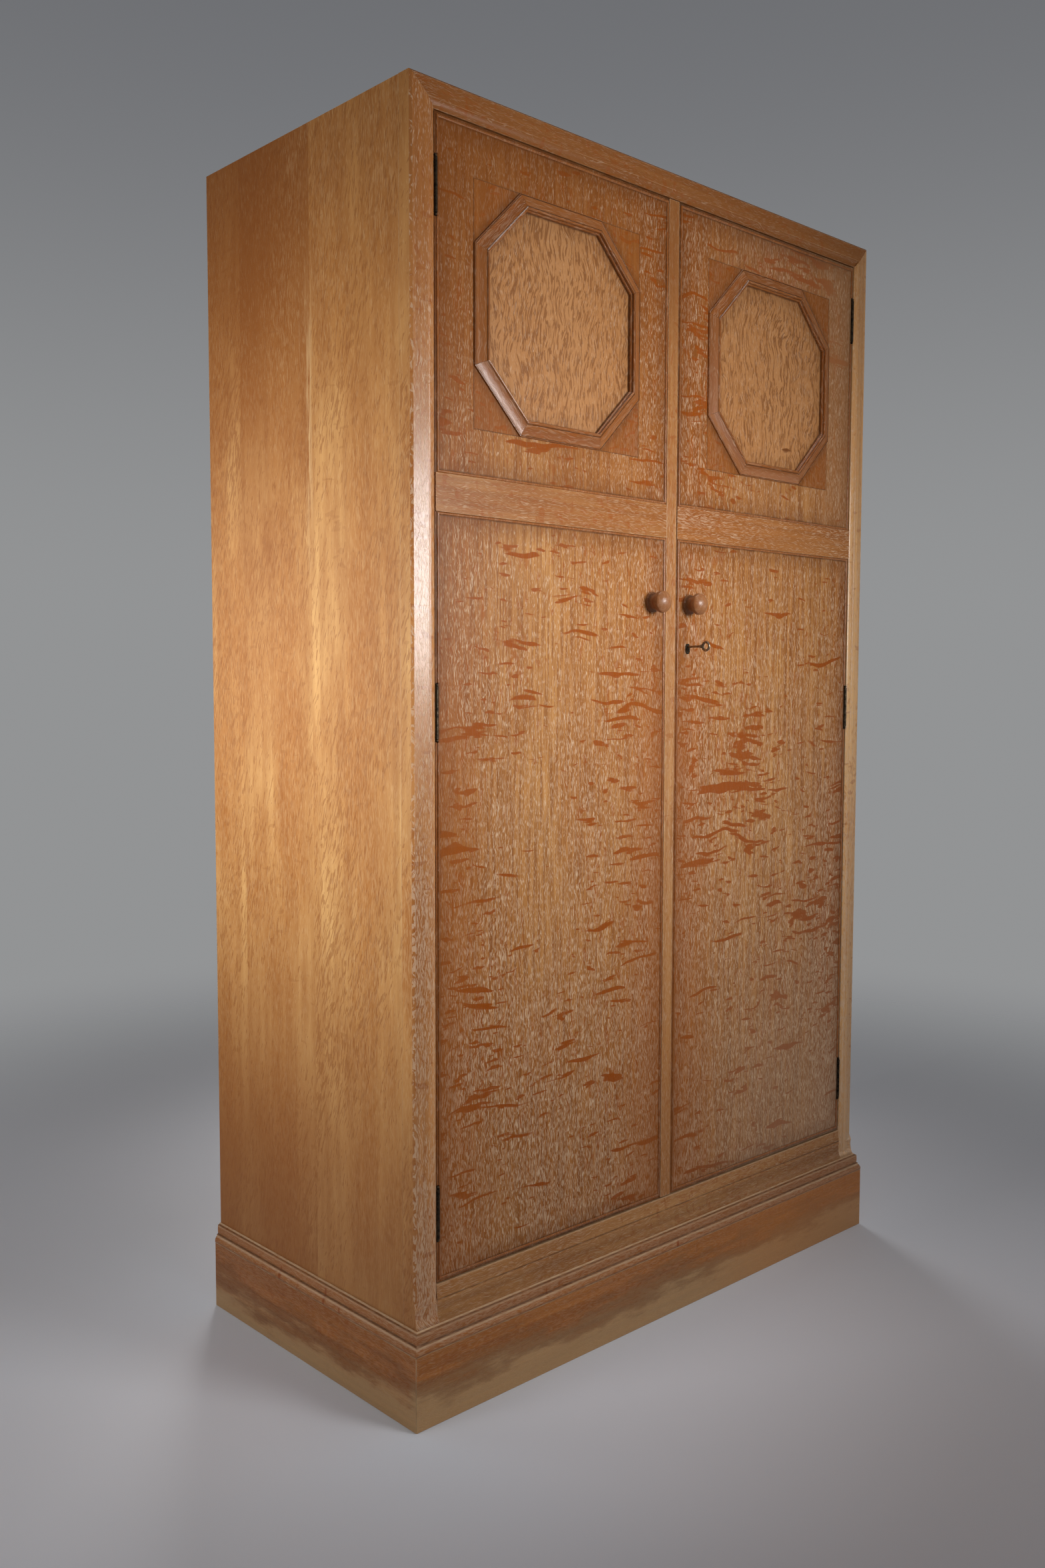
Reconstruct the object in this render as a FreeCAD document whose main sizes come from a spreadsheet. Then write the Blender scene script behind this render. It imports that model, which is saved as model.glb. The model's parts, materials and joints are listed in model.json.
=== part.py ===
import FreeCAD, Part
import math
import os
import re
import Sketcher

# A two-door oak wardrobe. +Z is up, -Y is the front, and the origin lies on the floor
# below the middle of the overall box. All sizes are in millimetres.

doc = FreeCAD.newDocument("wardrobe")
sheet = doc.addObject("Spreadsheet::Sheet", "dims")

sizes = {
    # carcass
    "carcassWidth": 1064,
    "carcassDepth": 524,
    "carcassHeight": 1830,
    "boardThick": 20,
    "backThick": 10,
    "muntinWidth": 60,
    # front frame, its face canted back towards the outer edge
    "frameWidth": 40,
    "edgeBack": 9.2,
    "bevelWidth": 3.4,
    "bevelFall": 3.2,
    "cantWidth": 28,
    "arrisBack": 3.4,
    "quirk": 0.9,
    "lipBack": 7.4,
    "lipRadius": 14,
    # sill and the coved foot that runs across rail and stiles
    "sillHeight": 191,
    "sillBack": 6.8,
    "coveDepth": 4.2,
    "coveHeight": 27,
    "coveRadius": 34,
    "stopHeight": 12,
    "stopReach": 0.4,
    # plinth and its moulding
    "plinthHeight": 108,
    "plinthThick": 20,
    "plinthProud": 11,
    "blockSize": 42,
    "blockLift": 4,
    "ovoloFoot": 2,
    "ovoloTop": 10,
    "ovoloRadius": 10.8,
    "filletProud": 7.4,
    "filletTop": 12.4,
    "fasciaFoot": 13,
    "fasciaProud": 5.2,
    "fasciaTop": 27.6,
    "fasciaRadius": 60,
    "headProud": 2.6,
    "headFoot": 28.3,
    "headTop": 29.6,
    "mouldHeight": 30.5,
    # doors
    "doorRecess": 8,
    "doorThick": 22,
    "doorGap": 2,
    "hingeGap": 1.5,
    "meetLine": 6.2,
    "meetGap": 2.2,
    "stopGap": 1,
    "stripWidth": 24,
    "railProud": 2,
    "railHousing": 4,
    "upperField": 468.5,
    "midRailHeight": 52,
    "beadInset": 3,
    "beadWidth": 4,
    "beadProud": 1.7,
    # octagon panels
    "octagonHalf": 168,
    "octagonCut": 86,
    "inlayThick": 1.5,
    "mouldingWidth": 24,
    "mouldingStep": 1.6,
    "mouldingCrest": 10,
    "crestInset": 20.5,
    "crestFlat": 1.2,
    "quirkDrop": 5.4,
    "beadFlat": 2.2,
    "beadDrop": 1.2,
    # butt hinges
    "hingeTopInset": 95,
    "hingeLowInset": 99,
    "leafHeight": 72,
    "leafWidth": 20,
    "leafThick": 1.4,
    "axisInset": 3.2,
    "axisProud": 0.5,
    "barrelRadius": 2.9,
    "barrelClear": 0.5,
    "knuckleGap": 0.3,
    "pinRadius": 1.5,
    "pinClear": 0.05,
    "tipRadius": 2.4,
    "tipRise": 2,
    # wood screws
    "screwHead": 3,
    "screwShank": 1.6,
    "screwLength": 14,
    "screwClear": 0.1,
    "screwPitch": 24,
    "screwInset": 12.5,
    # turned knobs
    "knobDrop": 102.5,
    "knobInset": 30,
    "knobTenon": 7,
    "tenonLength": 18,
    "knobBase": 16,
    "knobNeck": 12,
    "knobHead": 17.4,
    "knobReach": 33,
    "domeRadius": 21,
    "tenonClear": 0.1,
    # lock, key and keyhole
    "keyDrop": 68,
    "keyInset": 27,
    "keyReach": 47,
    "keyShank": 1.8,
    "keyClear": 0.3,
    "bowRadius": 6.6,
    "bowWire": 2,
    "bitRadius": 8,
    "bitWidth": 7,
    "bitThick": 2,
    "escutcheonWidth": 10,
    "escutcheonHeight": 17,
    "escutcheonThick": 1,
    "lockWidth": 62,
    "lockDepth": 13,
    "lockAbove": 40,
    "lockBelow": 24,
    "lockWall": 1.5,
    "boltLength": 38,
    "boltThick": 6,
    "boltHeight": 16,
    "boltAbove": 12,
    "boltSlack": 0.2,
    "boltSunk": 0.5,
    "strikeThick": 1.5,
    "strikeWidth": 13,
    "strikeHeight": 44,
    "mortiseDepth": 12,
    "mortiseClear": 0.6,
    # sliding bolts on the back of the left door
    "slidePlateWidth": 18,
    "slidePlateHeight": 80,
    "slidePlateThick": 1.5,
    "loopHeight": 8,
    "loopWidth": 12,
    "loopDepth": 10.5,
    "loopOffset": 26,
    "slideScrewOffset": 15,
    "rodRadius": 3.5,
    "rodClear": 0.1,
    "rodTail": 34,
    "rodGap": 3,
    "handleRadius": 3,
    "handleReach": 9,
    "handleDrop": 8,
    "slideInset": 44,
    "keeperThick": 1.2,
    "keeperLength": 30,
    "keeperClear": 1,
    "keeperDepth": 16,
    # inside
    "stopDrop": 18,
    "stopThick": 14,
    "stopRise": 12,
    "hatSpace": 292,
    "shelfThick": 18,
    "shelfSetback": 70,
    "bearerSize": 22,
    "railDrop": 70,
    "railRadius": 11,
    "socketFlange": 27,
    "socketFlangeThick": 4,
    "socketCollar": 15,
    "socketLength": 20,
    "socketClear": 0.15,
    "socketScrewRing": 21,
}
for row, (alias, number) in enumerate(sizes.items(), start=1):
    sheet.set(f"A{row}", alias)
    sheet.set(f"B{row}", str(number))
    sheet.setAlias(f"B{row}", alias)
doc.recompute()

# planes and edges worked out from the driving sizes
side = "(carcassWidth/2)"
back = "((carcassDepth - doorRecess + keyReach)/2)"
front = f"({back} - carcassDepth)"
face = f"({front} + doorRecess)"
doorBack = f"({face} + doorThick)"
frameBack = f"({doorBack} + stopGap)"
frameDepth = "(doorRecess + doorThick + stopGap)"
inner = f"({side} - boardThick)"
lining = f"({back} - backThick)"
opening = f"({side} - frameWidth)"
openTop = "(carcassHeight - frameWidth)"
floorTop = "(sillHeight + stopRise)"
mouldTop = "(plinthHeight + mouldHeight)"
plinthSide = f"({side} + plinthProud)"
plinthFront = f"({front} - plinthProud)"
doorLow = "(sillHeight + doorGap)"
doorTop = f"({openTop} - doorGap)"
hingeEdge = f"({opening} - hingeGap)"
meetLeft = "(meetLine - meetGap/2)"
meetRight = "(meetLine + meetGap/2)"
stripLeft = f"({meetLeft} - stripWidth)"
midRailTop = f"({doorTop} - beadInset - upperField)"
midRailLow = f"({midRailTop} - midRailHeight)"
octagonHeight = f"({midRailTop} + upperField/2)"
knobHeight = f"({midRailLow} - knobDrop)"
keyHeight = f"({knobHeight} - keyDrop)"
axisX = f"(axisInset - {opening})"
axisY = f"({face} - axisProud)"
hingeTop = f"({doorTop} - hingeTopInset)"
hingeLow = f"({doorLow} + hingeLowInset)"
hingeHeights = [hingeTop, f"(({hingeTop} + {hingeLow})/2)", hingeLow]
keyX = f"({meetRight} + beadInset + keyInset)"
lockFront = f"({doorBack} - lockDepth)"
boltLow = f"({keyHeight} + boltAbove)"
boltMiddle = f"({doorBack} - lockDepth/2)"
slideX = f"(({stripLeft} + {meetLeft})/2)"
slideY = f"({doorBack} + slidePlateThick + (loopDepth - slidePlateThick)/2)"
stopLow = f"({openTop} - stopDrop)"
shelfHeight = "(carcassHeight - boardThick - hatSpace - shelfThick)"
railHeight = f"({shelfHeight} - railDrop)"
railY = f"(({frameBack} + {lining})/2)"

nodes = {}


def bind(text):
    """Turn a formula in the sheet's aliases into an expression on its cells."""
    return re.sub(r"[A-Za-z]\w*", lambda word: "dims." + word.group(), text)


def value(text):
    return float(sheet.evalExpression(bind(text)))


def vector(x, y, z):
    return FreeCAD.Vector(value(x), value(y), value(z))


def keep(label, obj):
    """Make an object a sub-part of the wardrobe."""
    obj.Label = label
    nodes[label] = obj
    return obj


def place(obj, x, y, z, rotation=None):
    if rotation:
        obj.Placement.Rotation = rotation
    for axis, text in zip("xyz", (x, y, z)):
        obj.setExpression("Placement.Base." + axis, bind(text))
    return obj


def block(name, x, y, z):
    """A square-edged board between the two formulas given for each axis."""
    box = doc.addObject("Part::Box", name)
    for length, (low, high) in zip(("Length", "Width", "Height"), (x, y, z)):
        box.setExpression(length, bind(f"({high}) - ({low})"))
    return place(box, x[0], y[0], z[0])


alongX = FreeCAD.Rotation(FreeCAD.Vector(0, 1, 0), 90)
alongY = FreeCAD.Rotation(FreeCAD.Vector(1, 0, 0), -90)
alongZ = FreeCAD.Rotation()


def rod(name, radius, length, x, y, z, rotation=alongZ):
    cylinder = doc.addObject("Part::Cylinder", name)
    cylinder.setExpression("Radius", bind(radius))
    cylinder.setExpression("Height", bind(length))
    return place(cylinder, x, y, z, rotation)


def group(name, objects):
    compound = doc.addObject("Part::Compound", name)
    compound.Links = objects
    return compound


def fuse(name, objects):
    union = doc.addObject("Part::MultiFuse", name)
    union.Shapes = objects
    return union


def cut(name, base, tools):
    remainder = doc.addObject("Part::Cut", name)
    remainder.Base = base
    remainder.Tool = tools[0] if len(tools) == 1 else group(name + "Tools", tools)
    return remainder


def mirror(name, source):
    """The right-hand twin of a left-hand object."""
    twin = doc.addObject("Part::Mirroring", name)
    twin.Source = source
    twin.Normal = (1, 0, 0)
    return twin


def solids(name, shapes):
    """Several separate solids held in one object."""
    feature = doc.addObject("Part::Feature", name)
    feature.Shape = Part.makeCompound(shapes)
    return feature


def bulgePoint(start, end, radius, turn):
    """Middle of the arc between two points; turn is 1 to bulge left of the way along."""
    along = end - start
    half = along.Length / 2
    sag = radius - math.sqrt(radius**2 - half**2)
    across = FreeCAD.Vector(-along.y, along.x, 0).normalize()
    return (start + end) / 2 + across * sag * turn


def outline(body, role, points, arcs=None):
    """A closed sketch on one of the body's planes, every corner tied to the sheet."""
    arcs = arcs or {}
    sketch = body.newObject("Sketcher::SketchObject", body.Name + "Sketch")
    plane = next(f for f in body.Origin.OriginFeatures if f.Role == role)
    sketch.AttachmentSupport = (plane, "")
    sketch.MapMode = "FlatFace"
    corners = [vector(u, v, "0") for u, v in points]
    ends = []
    for index, start in enumerate(corners):
        end = corners[(index + 1) % len(corners)]
        if index in arcs:
            radius, turn = arcs[index]
            through = bulgePoint(start, end, value(radius), turn)
            begin, finish = (end, start) if turn > 0 else (start, end)
            sketch.addGeometry(Part.Arc(begin, through, finish))
            ends.append((2, 1) if turn > 0 else (1, 2))
        else:
            sketch.addGeometry(Part.LineSegment(start, end))
            ends.append((1, 2))
    for index, (u, v) in enumerate(points):
        after = (index + 1) % len(points)
        first, last = ends[index]
        sketch.addConstraint(Sketcher.Constraint("Coincident", index, last, after, ends[after][0]))
        for kind, text in (("DistanceX", u), ("DistanceY", v)):
            rule = Sketcher.Constraint(kind, -1, 1, index, first, value(text))
            number = sketch.addConstraint(rule)
            sketch.setExpression(f"Constraints[{number}]", bind(text))
        if index in arcs:
            rule = Sketcher.Constraint("Radius", index, value(arcs[index][0]))
            number = sketch.addConstraint(rule)
            sketch.setExpression(f"Constraints[{number}]", bind(arcs[index][0]))
    return sketch


def newBody(name, x="0", y="0", z="0", rotation=None):
    return place(doc.addObject("PartDesign::Body", name), x, y, z, rotation)


def pad(body, sketch, length, flipped=False):
    feature = body.newObject("PartDesign::Pad", body.Name + "Pad")
    feature.Profile = sketch
    feature.setExpression("Length", bind(length))
    feature.Reversed = flipped
    doc.recompute()
    return feature


def pocket(body, sketch, length, flipped=False):
    """Cut a sketch into the body, and make sure that it took something away."""
    doc.recompute()
    before = body.Shape.Volume
    feature = body.newObject("PartDesign::Pocket", body.Name + "Pocket")
    feature.Profile = sketch
    feature.setExpression("Length", bind(length))
    feature.Reversed = flipped
    doc.recompute()
    if body.Shape.Volume >= before:
        raise RuntimeError(body.Name + ": the pocket cut nothing")
    return feature


def turned(body, points, arcs=None):
    """Turn an outline of (along, radius) points about the body's X axis."""
    sketch = outline(body, "XY_Plane", points, arcs)
    feature = body.newObject("PartDesign::Revolution", body.Name + "Turned")
    feature.Profile = sketch
    feature.ReferenceAxis = (sketch, ["H_Axis"])
    feature.Angle = 360
    doc.recompute()
    return body


def mitredLengths(corners, section):
    """Straight lengths mitred round a closed outline on the door's face.

    corners go clockwise as (x, z), and section holds (inset from the outline, height).
    """
    faceY = value(face)
    count = len(corners)
    inward = []
    for index, (x, z) in enumerate(corners):
        nextX, nextZ = corners[(index + 1) % count]
        run = math.hypot(nextX - x, nextZ - z)
        inward.append(((nextZ - z) / run, (x - nextX) / run))
    rings = []
    for index, (x, z) in enumerate(corners):
        (ax, az), (bx, bz) = inward[index - 1], inward[index]
        share = 1 + ax * bx + az * bz
        across = ((ax + bx) / share, (az + bz) / share)
        rings.append([FreeCAD.Vector(x + inset * across[0], faceY - height, z + inset * across[1])
                      for inset, height in section])
    lengths = []
    for index in range(count):
        near, far = rings[index], rings[(index + 1) % count]
        sides = [near, far]
        for step in range(len(section)):
            after = (step + 1) % len(section)
            sides.append([near[step], near[after], far[after], far[step]])
        faces = [Part.Face(Part.makePolygon(loop + loop[:1])) for loop in sides]
        lengths.append(Part.Solid(Part.makeShell(faces)))
    for length in lengths:
        if length.Volume < 0:
            length.reverse()
    return lengths


def screw(spare):
    """A countersunk screw along +Z with its head's face at the origin."""
    head = value("screwHead") + spare
    shank = value("screwShank") + spare
    depth = value("leafThick")
    cone = Part.makeCone(head, shank, depth)
    length = value("screwLength") + spare - depth
    return cone.fuse(Part.makeCylinder(shank, length, FreeCAD.Vector(0, 0, depth)))


def screwsAt(name, places, spare=0.0):
    """Screws, or with spare room their holes, at (point, direction) places."""
    shapes = []
    for point, direction in places:
        shape = screw(spare)
        shape.Placement = FreeCAD.Placement(point, FreeCAD.Rotation(FreeCAD.Vector(0, 0, 1), direction))
        shapes.append(shape)
    return solids(name, shapes)


def holesAt(name, places):
    return screwsAt(name, places, value("screwClear"))


# front frame: two stiles and a top rail that share one section and are mitred at the top
frameSection = [
    ("0", "edgeBack"),
    ("bevelWidth", "edgeBack - bevelFall"),
    ("cantWidth", "arrisBack"),
    ("cantWidth + quirk", "arrisBack + quirk"),
    ("frameWidth", "lipBack"),
    ("frameWidth", frameDepth),
    ("0", frameDepth),
]

stile = newBody("stile", f"-{side}", front, "plinthHeight")
stileTop = "carcassHeight - plinthHeight"
pad(stile, outline(stile, "XY_Plane", frameSection, {3: ("lipRadius", -1)}), stileTop)
stopTop = "mouldHeight + coveHeight + stopHeight"
footSection = [
    ("0", "0"),
    ("0", "mouldHeight"),
    ("coveDepth", "mouldHeight + coveHeight"),
    ("edgeBack + stopReach", stopTop),
    (frameDepth, stopTop),
    (frameDepth, "0"),
]
pad(stile, outline(stile, "YZ_Plane", footSection, {1: ("coveRadius", -1)}), "frameWidth")
stileMitre = [("0", stileTop), ("frameWidth", f"{stileTop} - frameWidth"), ("frameWidth", stileTop)]
pocket(stile, outline(stile, "XZ_Plane", stileMitre), frameDepth)

topRail = newBody("topRail", f"-{side}", front, "carcassHeight")
railSection = [(across, f"-({inset})") for inset, across in frameSection]
pad(topRail, outline(topRail, "YZ_Plane", railSection, {3: ("lipRadius", 1)}), "carcassWidth")
for end, step in (("0", "frameWidth"), ("carcassWidth", "carcassWidth - frameWidth")):
    waste = [(end, "0"), (end, "-frameWidth"), (step, "-frameWidth")]
    pocket(topRail, outline(topRail, "XZ_Plane", waste), frameDepth)
keep("top_rail", topRail)

bottomRail = newBody("bottomRail", f"-{opening}", front, "plinthHeight")
sillSection = footSection[:3] + [
    ("sillBack", "sillHeight - plinthHeight"),
    (frameDepth, "sillHeight - plinthHeight"),
    (frameDepth, "0"),
]
pad(bottomRail, outline(bottomRail, "YZ_Plane", sillSection, {1: ("coveRadius", -1)}), f"2*{opening}")
keep("bottom_rail", bottomRail)

# carcass boards
depthInside = (frameBack, lining)
widthInside = (f"-{inner}", inner)
fullHeight = ("plinthHeight", "carcassHeight")
topHeight = ("carcassHeight - boardThick", "carcassHeight")
leftSideBlank = block("leftSideBlank", (f"-{side}", f"-{inner}"), (frameBack, back), fullHeight)
keep("top_panel", block("topPanel", widthInside, depthInside, topHeight))
floorBlank = block("floorBlank", widthInside, depthInside, (f"{floorTop} - boardThick", floorTop))
keep("back_muntin", block("backMuntin", ("-muntinWidth/2", "muntinWidth/2"), (lining, back), fullHeight))
backLeft = block("backLeft", (f"-{inner}", "-muntinWidth/2"), (lining, back), fullHeight)
keep("back_panel_left", backLeft)
keep("back_panel_right", mirror("backRight", backLeft))

# plinth: mitred boards, corner blocks and a mitred moulding round the foot of the carcass
plinthFrontBody = newBody("plinthFrontBoard")
plinthPlan = [
    (f"-{plinthSide}", plinthFront),
    (plinthSide, plinthFront),
    (f"{plinthSide} - plinthThick", f"{plinthFront} + plinthThick"),
    (f"plinthThick - {plinthSide}", f"{plinthFront} + plinthThick"),
]
pad(plinthFrontBody, outline(plinthFrontBody, "XY_Plane", plinthPlan), "plinthHeight")
keep("plinth_front", plinthFrontBody)
plinthLeftBody = newBody("plinthLeftBoard")
plinthPlan = [
    (f"-{plinthSide}", plinthFront),
    (f"plinthThick - {plinthSide}", f"{plinthFront} + plinthThick"),
    (f"plinthThick - {plinthSide}", back),
    (f"-{plinthSide}", back),
]
pad(plinthLeftBody, outline(plinthLeftBody, "XY_Plane", plinthPlan), "plinthHeight")
keep("plinth_left", plinthLeftBody)
keep("plinth_right", mirror("plinthRightBoard", plinthLeftBody))
plinthInner = f"({plinthSide} - plinthThick)"
plinthBackFace = f"({back} - plinthThick)"
plinthFrontFace = f"({plinthFront} + plinthThick)"
keep("plinth_back", block("plinthBackBoard", (f"-{plinthInner}", plinthInner),
                          (plinthBackFace, back), ("0", "plinthHeight")))
cornerBlocks = []
for name, y in (
    ("frontBlock", (plinthFrontFace, f"{plinthFrontFace} + blockSize")),
    ("backBlock", (f"{plinthBackFace} - blockSize", plinthBackFace)),
):
    x = (f"-{plinthInner}", f"blockSize - {plinthInner}")
    corner = block(name, x, y, ("blockLift", "plinthHeight"))
    cornerBlocks += [corner, mirror(name + "Right", corner)]
keep("plinth_blocks", group("plinthBlocks", cornerBlocks))

mouldSection = [
    ("0", "0"),
    ("plinthProud", "0"),
    ("plinthProud", "ovoloFoot"),
    ("filletProud", "ovoloTop"),
    ("filletProud", "filletTop"),
    ("fasciaProud", "fasciaFoot"),
    ("fasciaProud", "fasciaTop"),
    ("headProud", "headFoot"),
    ("headProud", "headTop"),
    ("0", "mouldHeight"),
]
outward = [(f"-({proud})", rise) for proud, rise in mouldSection]
mouldArcs = {2: ("ovoloRadius", 1), 5: ("fasciaRadius", 1)}
frontMould = newBody("frontMould", f"-{plinthSide}", front, "plinthHeight")
pad(frontMould, outline(frontMould, "YZ_Plane", outward, mouldArcs), f"2*{plinthSide}")
for end, step in (("0", "plinthProud"), (f"2*{plinthSide}", f"2*{plinthSide} - plinthProud")):
    waste = [(end, "-plinthProud"), (end, "0"), (step, "0")]
    pocket(frontMould, outline(frontMould, "XY_Plane", waste), "mouldHeight", True)
keep("plinth_moulding_front", frontMould)
leftMould = newBody("leftMould", f"-{side}", plinthFront, "plinthHeight")
pad(leftMould, outline(leftMould, "XZ_Plane", outward, mouldArcs), "carcassDepth + plinthProud", True)
waste = [("-plinthProud", "0"), ("0", "0"), ("0", "plinthProud")]
pocket(leftMould, outline(leftMould, "XY_Plane", waste), "mouldHeight", True)
keep("plinth_moulding_left", leftMould)
keep("plinth_moulding_right", mirror("rightMould", leftMould))

# shelf, hanging rail and its sockets
keep("hat_shelf", block("hatShelf", widthInside, (f"{front} + shelfSetback", lining),
                        (shelfHeight, f"{shelfHeight} + shelfThick")))
bearer = block("bearer", (f"-{inner}", f"bearerSize - {inner}"), (f"{front} + shelfSetback", lining),
               (f"{shelfHeight} - bearerSize", shelfHeight))
keep("shelf_bearers", group("shelfBearers", [bearer, mirror("bearerRight", bearer)]))
socketBore = "railRadius + socketClear"
socketSection = [
    ("0", "0"),
    ("0", "socketFlange"),
    ("socketFlangeThick", "socketFlange"),
    ("socketFlangeThick", "socketCollar"),
    ("socketLength", "socketCollar"),
    ("socketLength", socketBore),
    ("socketFlangeThick", socketBore),
    ("socketFlangeThick", "0"),
]
socketBlank = turned(newBody("socketBlank", f"-{inner}", railY, railHeight), socketSection)
keep("hanging_rail", rod("hangingRail", "railRadius", f"2*({inner} - socketFlangeThick)",
                         f"socketFlangeThick - {inner}", railY, railHeight, alongX))

# butt hinges, made about their own axis and repeated at three heights
knuckleCount = 5


def barrel(radius, low, length):
    return Part.makeCylinder(radius, length, FreeCAD.Vector(0, 0, low))


def hingeLeaf(plateX, ownKnuckles):
    height = value("leafHeight")
    pitch = height / knuckleCount
    gap = value("knuckleGap")
    corner = FreeCAD.Vector(plateX, 0, -height / 2)
    leaf = Part.makeBox(value("leafThick"), value("leafWidth"), height, corner)
    for index in range(knuckleCount):
        low = index * pitch - height / 2
        if index in ownKnuckles:
            leaf = leaf.fuse(barrel(value("barrelRadius"), low + gap / 2, pitch - gap))
        else:
            leaf = leaf.cut(barrel(value("barrelRadius") + gap, low, pitch))
    return leaf.cut(barrel(value("pinRadius + pinClear"), -height, 2 * height))


def hingePin():
    reach = value("leafHeight/2 + tipRise")
    pin = barrel(value("pinRadius"), -reach, 2 * reach)
    for end in (-reach, reach):
        pin = pin.fuse(Part.makeSphere(value("tipRadius"), FreeCAD.Vector(0, 0, end)))
    return pin


hingePoints = [vector(axisX, axisY, height) for height in hingeHeights]


def hung(name, shape):
    return solids(name, [shape.translated(point) for point in hingePoints])


def leafScrews(headX, direction):
    places = []
    for point in hingePoints:
        for step in (-1, 0, 1):
            offset = FreeCAD.Vector(headX, value("screwInset"), step * value("screwPitch"))
            places.append((point + offset, FreeCAD.Vector(direction, 0, 0)))
    return places


frameScrewPlaces = leafScrews(value("leafThick - axisInset"), -1)
doorScrewPlaces = leafScrews(value("hingeGap - axisInset"), 1)
frameLeafBlank = hung("frameLeafBlank", hingeLeaf(value("-axisInset"), (0, 2, 4)))
frameLeaves = cut("frameLeaves", frameLeafBlank, [holesAt("frameLeafHoles", frameScrewPlaces)])
keep("left_hinge_frame_leaves", frameLeaves)
keep("right_hinge_frame_leaves", mirror("frameLeavesRight", frameLeaves))
doorLeafBlank = hung("doorLeafBlank", hingeLeaf(value("hingeGap - axisInset"), (1, 3)))
doorLeaves = cut("doorLeaves", doorLeafBlank, [holesAt("doorLeafHoles", doorScrewPlaces)])
keep("left_hinge_door_leaves", doorLeaves)
keep("right_hinge_door_leaves", mirror("doorLeavesRight", doorLeaves))
pins = hung("hingePins", hingePin())
keep("left_hinge_pins", pins)
keep("right_hinge_pins", mirror("hingePinsRight", pins))

leftStile = cut("leftStile", stile, [holesAt("stileHoles", frameScrewPlaces)])
keep("left_stile", leftStile)
keep("right_stile", mirror("rightStile", leftStile))

socketScrewPlaces = []
for turn in (90, 210, 330):
    angle = math.radians(turn)
    ring = value("socketScrewRing")
    offset = FreeCAD.Vector(value("socketFlangeThick"), ring * math.cos(angle), ring * math.sin(angle))
    socketScrewPlaces.append((vector(f"-{inner}", railY, railHeight) + offset, FreeCAD.Vector(-1, 0, 0)))
socketHoles = holesAt("socketHoles", socketScrewPlaces)
leftSocket = cut("leftSocket", socketBlank, [socketHoles])
keep("rail_sockets", group("railSockets", [leftSocket, mirror("rightSocket", leftSocket)]))
leftSide = cut("leftSide", leftSideBlank, [socketHoles])
keep("left_side", leftSide)
keep("right_side", mirror("rightSide", leftSide))
leftFrameScrews = screwsAt("leftFrameScrews", frameScrewPlaces + socketScrewPlaces)
keep("frame_screws", group("frameScrews", [leftFrameScrews, mirror("rightFrameScrews", leftFrameScrews)]))

# hinge housings in the left door's edge, and gaps in its bead where the knuckles stand
housings = []
beadGaps = []
for number, height in enumerate(hingeHeights):
    reach = "(leafHeight/2 + tipRise + tipRadius + barrelClear)"
    span = (f"{height} - {reach}", f"{height} + {reach}")
    relief = (f"-{opening}", f"{axisX} + barrelRadius + barrelClear")
    housings.append(block(f"barrelHousing{number}", relief,
                          (f"{axisY} - barrelRadius", f"{axisY} + barrelRadius + barrelClear"), span))
    housings.append(block(f"leafHousing{number}", (f"-{opening}", f"leafThick - {hingeEdge}"),
                          (axisY, f"{axisY} + leafWidth"),
                          (f"{height} - leafHeight/2", f"{height} + leafHeight/2")))
    beadGaps.append(block(f"beadGap{number}", (f"-{opening}", f"beadInset + beadWidth - {hingeEdge}"),
                          (f"{face} - beadProud", face), span))
leftHousings = group("leftHousings", housings)
leftBeadGaps = group("leftBeadGaps", beadGaps)
leftDoorHoles = holesAt("leftDoorHoles", doorScrewPlaces)

# section of the half-round bead and of the octagon moulding, as (inset, height) on the door's face
arcSteps = 6
halfRound = [(value("beadWidth") / 2 * (1 - math.cos(math.pi * step / arcSteps)),
              value("beadProud") * math.sin(math.pi * step / arcSteps)) for step in range(arcSteps + 1)]
crestEnd = value("crestInset + crestFlat")
quirkFoot = value("mouldingCrest - quirkDrop")
octagonSection = [
    (0, 0),
    (0, value("mouldingStep")),
    (value("crestInset"), value("mouldingCrest")),
    (crestEnd, value("mouldingCrest")),
    (crestEnd, quirkFoot),
    (value("mouldingWidth") - value("beadFlat") / 2, quirkFoot - value("beadDrop")),
    (value("mouldingWidth"), 0),
]


def octagonCorners(half, cutBack):
    """Eight corners of a square with its corners cut off, clockwise from the top left."""
    flat = f"({half} - {cutBack})"
    return [
        (f"-{flat}", half), (flat, half), (half, flat), (half, f"-{flat}"),
        (flat, f"-{half}"), (f"-{flat}", f"-{half}"), (f"-{half}", f"-{flat}"), (f"-{half}", flat),
    ]


def knob(name, x):
    body = newBody(name, x, face, knobHeight, FreeCAD.Rotation(FreeCAD.Vector(0, 0, 1), -90))
    section = [
        ("-tenonLength", "0"),
        ("-tenonLength", "knobTenon"),
        ("0", "knobTenon"),
        ("0", "knobBase"),
        ("knobReach*0.09", "knobBase"),
        ("knobReach*0.16", "knobNeck"),
        ("knobReach*0.38", "knobNeck"),
        ("knobReach*0.48", "knobHead - 1.5"),
        ("knobReach*0.58", "knobHead"),
        ("knobReach*0.74", "knobHead - 0.6"),
        ("knobReach", "0"),
    ]
    return turned(body, section, {5: ("knobNeck", -1), 9: ("domeRadius", 1)})


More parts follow.
